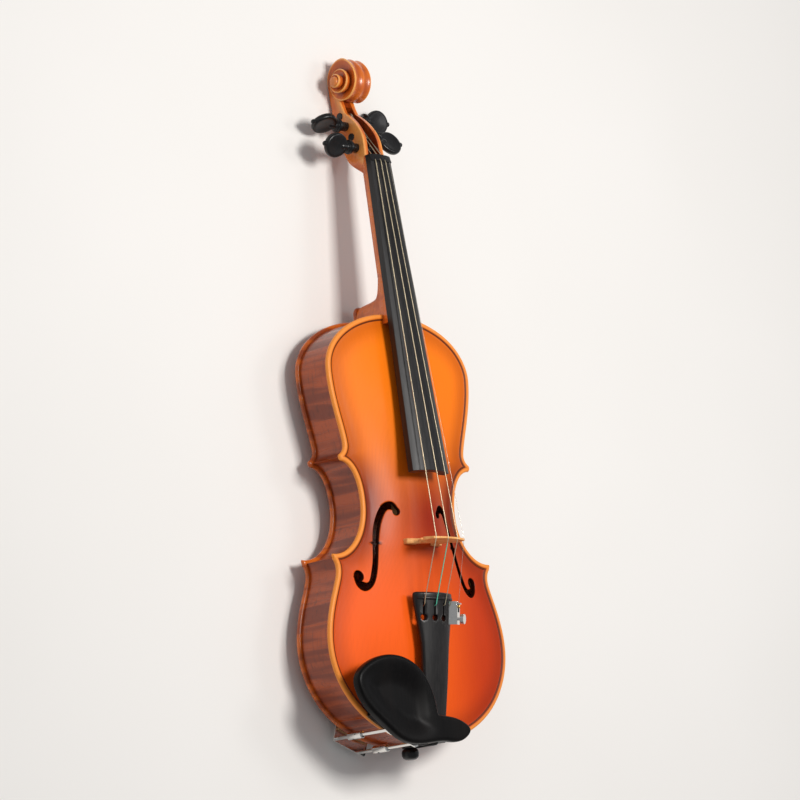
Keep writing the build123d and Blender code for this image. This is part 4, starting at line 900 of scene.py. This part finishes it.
def neck_handle():
    """A D-shaped section carried down the neck, then swung round the heel's front into the back's button."""
    handle_rows, heel_rows, heel_blend = 30, 30, 16
    above_nut, near_depth, deepening = 6.0, 11.3, 0.8
    heel_in, roundness = 62.5, 2.1
    rings = []
    for distance in np.linspace(-above_nut, handle_length, handle_rows):
        depth = near_depth + deepening * (distance + above_nut) / (handle_length + above_nut)
        over, below = neck_across(distance, 0), neck_across(distance, -depth)
        rings.append((over, below, board_half(distance), roundness))
    under = neck_across(handle_length, -near_depth - deepening)
    button = (upper_edge + button_top, rib_low)
    front = bezier([under, (upper_edge + 14.5, under[1] - 3), (upper_edge + 15.5, rib_low + 16), button],
                   heel_rows)
    front = np.vstack([front, [button]])
    root = neck_across((nut_point[0] - heel_in) / math.cos(neck_angle), 0)
    inner = np.array([neck_across(handle_length, 0), root, (heel_in, rib_low)])
    share = np.linspace(0, 1, heel_rows + 1)
    inner = np.stack([np.interp(share, [0.0, 0.5, 1.0], inner[:, axis]) for axis in (0, 1)], 1)
    for k in range(1, heel_rows + 1):
        rings.append((inner[k], front[k], board_half(handle_length), roundness + 0.9 * k / heel_rows))
    rows = []
    for number, (over, below, handle, power) in enumerate(rings):
        run, depth = rounded_u(power)
        line = over + (below - over) * depth[:, None]
        heel = button_half + 6.0 * (line[:, 1] - rib_low) / 44
        blend = between(handle_rows - 1, handle_rows - 1 + heel_blend, float(number))
        wide = handle * (1 - blend) + heel * blend
        ring = np.column_stack([run * wide, line])
        glue_face = np.linspace(ring[-1], ring[0], 9)[1:-1]
        rows.append(np.vstack([ring, glue_face]))
    return capped_tube(np.array(rows))


def pegbox_half(up):
    """Half the pegbox's width outside, at a distance above the body's edge."""
    return np.interp(up, [120, 182, 192, 203.5], [12.9, 8.6, 8.9, 9.3])


def pegbox():
    """Two cheeks and a fluted back carried along the head, round a channel for the strings."""
    channel_low, channel_high = 136.0, 184.0
    bevel = 0.55
    ups = np.concatenate([np.linspace(122, channel_low - 0.1, 15), np.linspace(channel_low, channel_high, 60),
                          np.linspace(channel_high + 0.5, 203.5, 14)])
    front = np.vstack([[(120, 9.0), (135.9, 7.0)],
                       smooth_line([(136, 5.6), (145, 6.6), (154, 8.5), (163, 13.5), (170.5, 20),
                                     (178, 29)], 60),
                       [(184, 31.6), (192, 34.6), (203.5, 41.0)]])
    under = smooth_line([(122, 15.5), (129, 23.5), (145, 33), (165, 41), (186, 45), (203.5, 46)], 80,
                        start=(0.6, 0.8), end=(1, 0))
    channel = smooth_line([(136, 12), (146, 27), (160, 35), (171, 39.4), (179, 39.2), (184, 31.6)], 60)
    rows, shades, edges = [], [], []
    for up in ups:
        top_drop = np.interp(up, front[:, 0], front[:, 1])
        back_drop = max(np.interp(up, under[:, 0], under[:, 1]), top_drop + 0.5)
        half = float(pegbox_half(up)) * (0.45 + 0.55 * float(between(120, 134, up)))
        power = 2.2 + 8.0 * float(between(124, 142, up))
        run, depth = rounded_u(power, 53)
        flute = 1.15 * np.sin(np.pi * np.clip(np.abs(run) / 0.93, 0, 1)) ** 2 * float(between(128, 150, up))
        drop = top_drop + (back_drop - top_drop) * depth - flute * (depth > 0.6)
        hollow = channel_low <= up <= channel_high
        floor = np.interp(up, channel[:, 0], channel[:, 1]) if hollow else top_drop
        floor = max(min(floor, back_drop - 4.0), top_drop)
        wall = min(7.3 - 3.1 * (up - channel_low) / 46, half - 1.6)
        inner = np.array([(half - bevel, top_drop), (half - 0.25 * half, top_drop), (wall + 0.4, top_drop),
                          (wall, min(top_drop + 0.5, floor)), (wall, max(floor - 1.2, top_drop)),
                          (wall - 0.9, floor), (0, floor)])
        inner = np.vstack([inner, inner[:-1][::-1] * [-1, 1]])
        outer = np.column_stack([run * half, drop])
        outer[0, 1] = outer[-1, 1] = top_drop + bevel
        ring = np.vstack([outer, inner])
        rows.append(np.column_stack([ring[:, 0], np.full(len(ring), upper_edge + up), rib_top - ring[:, 1]]))
        # Painted shade: darker in the back's flutes, and much darker inside the string channel.
        shade = np.concatenate([1 - 0.28 * (flute > 0.8), np.full(len(inner), 1.0)])
        shade[len(outer) + 3:-3] = 0.35
        shades.append(shade)
        edge_highlight = np.zeros(len(ring))
        # Painted highlight along the top edges of the cheeks.
        edge_highlight[[0, len(outer) - 1, len(outer), len(ring) - 1]] = 0.75
        edges.append(edge_highlight)
    points, faces = capped_tube(np.array(rows))
    return points, faces, np.array(shades).ravel(), np.array(edges).ravel()


def scroll():
    """A band wound round the eye: its radius shrinks as its width grows. Sides hollowed, two flutes."""
    radii = [17, 21.5, 16.8, 15.2, 12.8, 11.9, 10.3, 9.0, 7.9, 6.9, 5.9, 5.0, 4.2]
    turns = smooth_line(np.column_stack([np.arange(13.0), radii]), 400)
    widths = smooth_line([(0, 9.3), (2, 9.7), (4, 11.2), (6, 13.6), (8, 16.2), (10, 18.4), (12, 19.9)], 200)
    quarter = np.linspace(0, 12, 217)
    outer = np.interp(quarter, turns[:, 0], turns[:, 1])
    inner = np.interp(quarter + 4, turns[:, 0], turns[:, 1]) - 0.7
    inner = np.where(quarter > 8, np.minimum(inner, 3.4), inner)
    wide = np.interp(quarter, widths[:, 0], widths[:, 1])
    edge = 0.75
    face = np.linspace(-1, 1, 21)
    flute = np.sin(np.pi * np.abs(face)) ** 2
    side = np.linspace(0, 1, 9)
    cove = 1.7 * (1 - (1 - side) ** 2.2)
    rows, shades, edges = [], [], []
    for q, far, near, half in zip(quarter, outer, inner, wide):
        depth = 1.15 * min(1.0, (far - near) / 4)
        band_x, band_r = face * (half - edge), far - depth * flute
        side_r = (far - edge) + (near - (far - edge)) * side
        side_x = half - cove * min(1.0, (far - near) / 3.5)
        x = np.concatenate([band_x, side_x, [0], -side_x[::-1]])
        r = np.concatenate([band_r, side_r, [near], side_r[::-1]])
        angle = q * np.pi / 2
        rows.append(np.column_stack([x, eye_y + r * np.sin(angle), np.maximum(eye_z - r * np.cos(angle), 0)]))
        # Painted shade: darker in the band's flutes, down the hollowed sides, and deepest where the turns
        # meet.
        shades.append(np.concatenate([1 - 0.30 * flute, 1 - 0.62 * side ** 1.6, [0.4],
                                      1 - 0.62 * side[::-1] ** 1.6]))
        edge_highlight = np.zeros(len(x))
        # Painted highlight along the band's edges.
        edge_highlight[[0, len(face) - 1, len(face), len(x) - 1]] = 0.9
        edges.append(edge_highlight)
    tip = [(18.0, 4.3), (19.2, 4.15), (20.0, 3.4), (20.4, 2.2), (20.5, 0)]
    eye = turned([(-along, radius) for along, radius in tip[::-1]] + tip, 40) + [0, eye_y, eye_z]
    eye_count = eye.shape[0] * eye.shape[1]
    points, faces = joined(capped_tube(np.array(rows)), capped_tube(eye))
    shade = np.concatenate([np.array(shades).ravel(), np.ones(eye_count)])
    # The band's painted edge highlights, and a fainter painted highlight all over the eye.
    edge_highlight = np.concatenate([np.array(edges).ravel(), np.full(eye_count, 0.25)])
    return points, faces, shade, edge_highlight


def carved(name, points, faces, shade, edge_highlight, sharp=32):
    """A varnished piece of the head: darker where its painted shade is low, and paler along its painted edge
    highlights.
    """
    tint = np.stack([shade, shade ** 1.5, shade ** 1.9, np.ones_like(shade)], 1)
    make_piece(name, points, faces, "neck", "head", "varnished_maple", sharp=sharp,
               marks={"varnish": tint, "edge_highlight": edge_highlight})


handle_points, handle_faces = neck_handle()
handle_count = len(handle_points)
carved("neck_handle", handle_points, handle_faces, np.full(handle_count, 0.92), np.zeros(handle_count), 50)
carved("pegbox", *pegbox())
carved("scroll", *scroll(), sharp=40)

# ---- pegs --------------------------------------------------------------------------------------------
peg_places = {"g_peg": (-1, 144.5, 16.0, 25), "e_peg": (1, 155.0, 21.2, -20),
              "d_peg": (-1, 165.5, 27.5, 60), "a_peg": (1, 175.5, 34.3, 5)}


def peg(side, up, drop, degrees):
    """A tapered shaft with a turned collar, and a thin heart-shaped head dished on both faces."""
    far = -(float(pegbox_half(up)) + 0.8)
    shaft = turned([(far, 0), (far, 2.9), (far + 0.5, 3.4), (17.4, 4.0909), (18.2, 4.7), (18.6, 5.6),
                    (19.2, 6.1), (20.2, 6.2), (21.0, 6.0), (21.5, 5.3), (21.7, 4.6), (22.1, 4.5), (22.5, 4.7),
                    (22.8, 4.4), (23.3, 3.5), (24.4, 3.1), (26.5, 3.3), (29.0, 3.0), (33.0, 0)], 44)
    sides = 64
    around = np.arange(sides) / sides * 2 * np.pi
    share = np.array([0, 0.15, 0.3, 0.45, 0.6, 0.72, 0.82, 0.89, 0.94, 0.975, 0.993, 1.0])
    lift = 3.4 * (0.5 + 0.5 * share ** 2.2) * np.sqrt(1 - share ** 9)
    share = np.concatenate([share, share[::-1][1:]])
    lift = np.concatenate([lift, -lift[::-1][1:]])
    along = 34.9 + 12.5 * share[:, None] * np.cos(around)
    flare = 10.2 * (1 + 0.07 * np.cos(around) - 0.05 * np.cos(2 * around))
    spread = share[:, None] * np.sin(around) * flare
    head = np.stack([along, spread, np.repeat(lift[:, None], sides, 1)], -1)
    bead = turned([(46.2, 0), (46.5, 1.5), (47.3, 2.1), (48.3, 2.2), (49.2, 1.7), (49.7, 0.9), (49.8, 0)], 24)
    points, faces = joined(*[capped_tube(part) for part in (shaft, head, bead)])
    turn = math.radians(degrees)
    out = np.array([side, 0, 0])
    flat = np.array([0, math.cos(turn), math.sin(turn)])
    thick = np.cross(out, flat)
    origin = np.array([0, upper_edge + up, rib_top - drop])
    return origin + points[:, :1] * out + points[:, 1:2] * flat + points[:, 2:] * thick, faces


for name, place in peg_places.items():
    make_piece(f"{name}_turned", *peg(*place), name, "peg", "ebony", body=f"{name}_body", sharp=30)

# ---- chin rest ---------------------------------------------------------------------------------------
def chin_outline():
    """The cup's plan, and the tongue that reaches over the tailpiece's tip."""
    cup = smooth_line([(-12, 336), (-17, 316), (-34, 296), (-60, 289), (-86, 295), (-101.5, 309), (-96, 327),
                       (-74, 346), (-50, 359.5)], 150, start=(-0.1, -1), end=(1, 0.25))
    tongue = smooth_line([(-50, 359.5), (-4, 358), (20, 355), (26.5, 348), (18, 341), (-12, 336)], 90,
                         start=(1, 0.25), end=(-1, -0.2))
    run = np.vstack([cup[:-1], tongue[:-1]])
    return even_steps(np.stack([run[:, 0], upper_edge - run[:, 1]], 1), 1.3)


def chin_cup():
    """A dished cup over its plan, with rolled edges above and below."""
    insets = [0.12, 0.45, 1.0, 1.8, 2.8, 4.0, 5.2, 6.6, 8.2]
    flat, triangles, edge, _ = plan_mesh(chin_outline(), insets, 2.6)
    x, y = flat[:, 0], flat[:, 1]
    cup_part = 1 - between(-34, -12, x)
    dish = 5.6 * between(2.8, 24.0, edge) * cup_part
    crown = 77.5 - roll(edge, 2.7) - dish - 1.0 * between(-20, 30, x)
    sole = 69.0 + roll(edge, 2.6) + 1.2 * between(2, 16, edge) * cup_part
    top, bottom = np.stack([x, y, crown], 1), np.stack([x, y, np.minimum(sole, crown - 1)], 1)
    points, faces, _ = shell(triangles, top, bottom)
    return points, faces


def chin_foot():
    """The rest's foot: a rounded block carried along the body's edge, from its clamp out under the cup."""
    bass = fine_outline[(fine_outline[:, 0] < -19.5) & (fine_outline[:, 1] < upper_edge - 336)]
    bass = bass[np.argsort(bass[:, 0])]
    direction = np.gradient(bass, axis=0)
    direction /= np.linalg.norm(direction, axis=1)[:, None]
    normal = np.stack([-direction[:, 1], direction[:, 0]], 1)
    keep = bass[:, 0] > -73.0
    bass, normal = bass[keep][::2], normal[keep][::2]
    near, far = 0.2, 11.8
    low, high = 51.2, 71.0
    soft = 1.2
    inset = np.array([near + soft, far - soft, far, far, far - soft, near + soft, near, near])
    height = np.array([low, low, low + soft, high - soft, high, high, high - soft, low + soft])
    plan_points = bass[:, None, :] + normal[:, None, :] * inset[None, :, None]
    upright = np.broadcast_to(height[None, :, None], plan_points.shape[:2] + (1,))
    rows = np.concatenate([plan_points, upright], -1)
    return capped_tube(rows)


make_piece("chin_rest_cup", *joined(chin_cup(), chin_foot()), "chin_rest", "chin", "ebony", sharp=40)

# ---- bridge ------------------------------------------------------------------------------------------
crest_height, crest_radius = 50.6, 41.5


def bridge_crest(x):
    """Height of the bridge's top edge over the belly's glue line: an arc, its middle a little to the bass."""
    return crest_height - crest_radius + np.sqrt(crest_radius ** 2 - (x + 1.4) ** 2)


def bridge_outline():
    """Feet, waist, kidney cuts and wings on both sides, under the arc that carries the strings."""
    waist = smooth_line([(20.5, 17.8), (19.1, 18.9), (14.5, 20.6), (12.1, 23.6), (12.3, 27.4),
                         (15.1, 28.2)], 30)
    kidney = smooth_line([(15.1, 28.2), (12.6, 29.2), (11.9, 31), (12.6, 32.8), (15.1, 33.8)], 18)
    wing = smooth_line([(15.1, 33.8), (18.2, 34.2), (19.5, 35.2), (19.9, 37.2), (19.6, 39.5)], 14)
    foot = np.array([(10, 10), (20.5, 10), (20.5, 17.8)], float)
    side = np.vstack([foot[:-1], waist[:-1], kidney[:-1], wing])
    xs = np.linspace(19, -19, 60)
    top_line = np.column_stack([xs, bridge_crest(xs)])
    angle = np.linspace(np.pi, 0, 18)[1:-1]
    under_arch = np.column_stack([9.3 * np.cos(angle), 20 + 5 * np.sin(angle)])
    mirror = side[::-1] * [-1, 1]
    return keep_corners(np.vstack([[(9.3, 20)], side, top_line, mirror, [(-9.3, 20)], under_arch]), 0.7,
                        [(10, 10), (20.5, 10), (-10, 10), (-20.5, 10), (20.5, 17.8), (-20.5, 17.8),
                         (15.1, 28.2),
                         (-15.1, 28.2), (19, 45.6), (-19, 45.6)])


def bridge():
    """The outline given a thickness that tapers upwards, its back upright and its edges and cuts softened."""
    heart = [circle(-1.9, 34.2, 2.4, 28), circle(1.9, 34.2, 2.4, 28),
             np.array([(-0.8, 28.6), (0.8, 28.6), (0.8, 34.4), (-0.8, 34.4)])]
    flat, triangles, edge, rim = plan_mesh(bridge_outline(), [0.1, 0.35, 0.8], 0.9, heart, (0.1, 0.35))
    x, height = flat[:, 0], flat[:, 1]
    soft = roll(np.minimum(edge, rim), 0.3)
    tail_face = bridge_y - 0.8
    thickness = np.interp(height, [10, 18, crest_height], [4.4, 4.4, 1.6])
    tail_side = np.stack([x, tail_face + soft, rib_top + height], 1)
    scroll_side = np.stack([x, tail_face + thickness - soft, rib_top + height], 1)
    points, faces, _ = shell(triangles, scroll_side, tail_side)
    return points, faces


make_piece("bridge_carved", *bridge(), "bridge", "bridge", "bare_maple", sharp=45)

# ---- tailpiece ---------------------------------------------------------------------------------------
tail_slope = math.atan2(12.5, 104.0)
tail_head = np.array([0, upper_edge - 236.0, rib_top + 31.5])
tail_along = np.array([0, -math.cos(tail_slope), -math.sin(tail_slope)])
tail_out = np.array([0, -math.sin(tail_slope), math.cos(tail_slope)])
tail_radius = 34.0


def on_tailpiece(x, distance, lift):
    """Points over the tailpiece: across, from its head, and out from the crown of its arch."""
    return tail_head + np.outer(x, [1, 0, 0]) + np.outer(distance, tail_along) + np.outer(lift, tail_out)


def tail_outline():
    """From the rounded head in to the waist, then nearly straight to the rounded tip."""
    flare = bezier([(22, 2.5), (22.0, 9), (17.5, 30), (15.5, 43.7)], 30)
    tip = [(15.5, 43.7), (14, 72.8), (11.3, 100.5), (10.6, 102.8), (8.6, 104)]
    side = np.vstack([[(20.4, 0.3), (21.4, 1.0)], flare, tip])
    mirror = side[::-1] * [-1, 1]
    return keep_corners(np.vstack([[(0, 0)], side, mirror]), 1.0, [(0, 0)])


def arch_drop(x):
    """How far the tailpiece's arch has fallen, away from its crown."""
    return tail_radius - np.sqrt(tail_radius ** 2 - x ** 2)


def tailpiece():
    """An arched board, thick at its tip, with a keyhole for each string and all edges softened."""
    keyholes = []
    for n in range(4):
        place = (n / 3 - 0.5) * 30.0
        left, right = place - 0.8, place + 0.8
        keyholes.append(circle(place, 21.0, 2.7, 28))
        keyholes.append(np.array([(left, 8.6), (right, 8.6), (right, 21.0), (left, 21.0)]))
    insets = [0.15, 0.5, 1.1, 1.8, 2.6]
    flat, triangles, edge, rim = plan_mesh(tail_outline(), insets, 1.5, keyholes, (0.15, 0.5))
    x, along = flat[:, 0], flat[:, 1]
    softened = roll(edge, 1.6) + roll(rim, 0.45)
    over = -arch_drop(x) - softened
    thick = 4.0 + 5.5 * between(88, 93, along)
    under = np.minimum(-arch_drop(x) * 0.9 - thick + roll(edge, 0.8), over - 0.3)
    points, faces, _ = shell(triangles, on_tailpiece(x, along, over), on_tailpiece(x, along, under))
    return points, faces


def string_fret():
    """A half-round ridge across the tailpiece, following its arch."""
    xs = np.linspace(-20.4, 20.4, 40)[:, None]
    angle = np.linspace(0, np.pi, 11)
    fade = np.sqrt(np.clip(1 - (np.abs(xs) / 20.6) ** 12, 0, 1))
    surface = -arch_drop(xs)
    along = np.concatenate([5.2 + 1.2 * np.cos(angle), [4.0, 6.4]])
    lift = np.hstack([surface + 1.8 * np.sin(angle) ** 0.8 * fade, surface - 1.0, surface - 1.0])
    across, along = np.broadcast_arrays(xs, along)
    return capped_tube(on_tailpiece(across.ravel(), along.ravel(), lift.ravel()).reshape(*across.shape, 3))


make_piece("tailpiece_carved", *joined(tailpiece(), string_fret()), "tailpiece", "tail", "ebony", sharp=38)

# ---- end button --------------------------------------------------------------------------------------
def end_button():
    """A turned shank, collar and head, pointing out of the middle of the lower edge."""
    profile = [(16, 0), (16, 3.2), (15.6, 3.6), (0, 3.6), (0, 5.0), (-0.4, 5.4), (-2.4, 5.4), (-3.1, 4.9),
               (-3.4, 4.35), (-5.4, 4.3), (-5.9, 4.8), (-6.2, 6.0), (-7.4, 6.9), (-9.0, 7.2), (-11.5, 7.0),
               (-13.2, 6.2), (-14.4, 4.6), (-14.9, 2.4), (-15, 0)]
    rib_face = upper_edge - body_length + 3.0
    return capped_tube(turned(profile, 56)[..., [1, 0, 2]] + [0, rib_face, (rib_low + rib_top) / 2])


make_piece("end_button_turned", *end_button(), "end_button", "peg", "ebony", sharp=45)

# ---- edges eased on the small hard pieces ------------------------------------------------------------
corner_angle = math.radians(32)


def eased(node, body, width):
    """A copy of a measured piece with its facets welded and its edges rounded over."""
    mesh = bpy.data.objects[node].data.copy()
    work = bmesh.new()
    work.from_mesh(mesh)
    bmesh.ops.remove_doubles(work, verts=work.verts, dist=weld_gap * MM)
    bmesh.ops.dissolve_limit(work, angle_limit=math.radians(1.0), verts=work.verts, edges=work.edges)
    bmesh.ops.recalc_face_normals(work, faces=work.faces)
    work.to_mesh(mesh)
    work.free()
    mesh.shade_smooth()
    mesh.set_sharp_from_angle(angle=corner_angle)
    piece = bpy.data.objects.new(f"{node}_eased", mesh)
    bpy.context.scene.collection.objects.link(piece)
    rounding = piece.modifiers.new("rounding", "BEVEL")
    rounding.width = width * MM
    rounding.segments = 3
    rounding.limit_method = "ANGLE"
    rounding.angle_limit = corner_angle
    rounding.harden_normals = True
    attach(piece, body)
    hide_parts(node)


for node, body, width, slot in (
        ("fingerboard", "violin", 0.35, "ebony"),
        ("nut", "violin", 0.25, "ebony"),
        ("saddle", "violin", 0.3, "ebony"),
        ("tuner_frame", "violin", 0.4, "nickel"),
        ("tuner_lever", "tuner_lever_body", 0.2, "nickel"),
        ("tuner_screw", "tuner_screw_body", 0.25, "nickel"),
        ("clamp_bracket", "violin", 0.35, "clamp_nickel"),
        ("clamp_foot", "clamp_foot_body", 0.35, "clamp_nickel"),
        ("clamp_barrel_bass", "barrel_bass_body", 0.3, "clamp_nickel"),
        ("clamp_barrel_treble", "barrel_treble_body", 0.3, "clamp_nickel")):
    eased(node, body, width)

# ---- stage, light and camera -------------------------------------------------------------------------
low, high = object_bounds()
middle = (Vector(low) + Vector(high)) / 2


def stage_floor():
    """A wide pale floor under the back."""
    finish = Finish("pale_floor", 0.85, specular=0.2)
    mottle = finish.noise(finish.stretched((3, 3, 3)), 1.0, 2.0)
    finish.paint(finish.mix(mottle, tone(234, 231, 227), tone(241, 238, 235)))
    mesh = bpy.data.meshes.new("floor")
    wide = 6.0
    ground = float(low[2]) - 0.0005
    mesh.from_pydata([(-wide, -wide, ground), (wide, -wide, ground), (wide, wide, ground),
                      (-wide, wide, ground)],
                     [], [(0, 1, 2, 3)])
    floor = bpy.data.objects.new("floor", mesh)
    floor.data.materials.append(finish.material)
    bpy.context.scene.collection.objects.link(floor)


def soft_lamp(name, place, size, power, colour=(1, 1, 1)):
    """A square lamp of a given size, aimed at the middle of the violin."""
    lamp = bpy.data.lights.new(name, "AREA")
    lamp.size = size
    lamp.energy = power
    lamp.color = colour
    holder = bpy.data.objects.new(name, lamp)
    bpy.context.scene.collection.objects.link(holder)
    holder.location = place
    holder.rotation_euler = (middle - Vector(place)).to_track_quat("-Z", "Y").to_euler()


stage_floor()
soft_lamp("overhead", (0.02, 0.25, 1.7), 0.45, 22.0, (1.0, 0.98, 0.95))
soft_lamp("window", (-1.9, 0.9, 1.2), 1.4, 4.0, (0.96, 0.98, 1.0))
soft_lamp("far_side", (1.15, 0.3, 1.7), 0.5, 3.5)

world = bpy.data.worlds.new("room")
world.use_nodes = True
world.node_tree.nodes["Background"].inputs["Color"].default_value = (0.9, 0.92, 0.95, 1)
world.node_tree.nodes["Background"].inputs["Strength"].default_value = 0.34
bpy.context.scene.world = world
bpy.context.scene.view_settings.view_transform = "Standard"

sight = Vector((-0.71579, -0.17179, 0.67686)).normalized()
across = Vector((0.69443, -0.07306, 0.71584))
across = (across - sight * across.dot(sight)).normalized()
upwards = sight.cross(across)
camera_distance = 4.0
view_width = 0.66
lens = bpy.data.cameras.new("camera")
lens.sensor_width = 36.0
lens.lens = lens.sensor_width * camera_distance / view_width
lens.clip_end = 50.0
camera = bpy.data.objects.new("camera", lens)
turned_to = Matrix((across, upwards, sight)).transposed().to_4x4()
camera.matrix_world = Matrix.Translation(middle + sight * camera_distance) @ turned_to
bpy.context.scene.collection.objects.link(camera)
bpy.context.scene.camera = camera
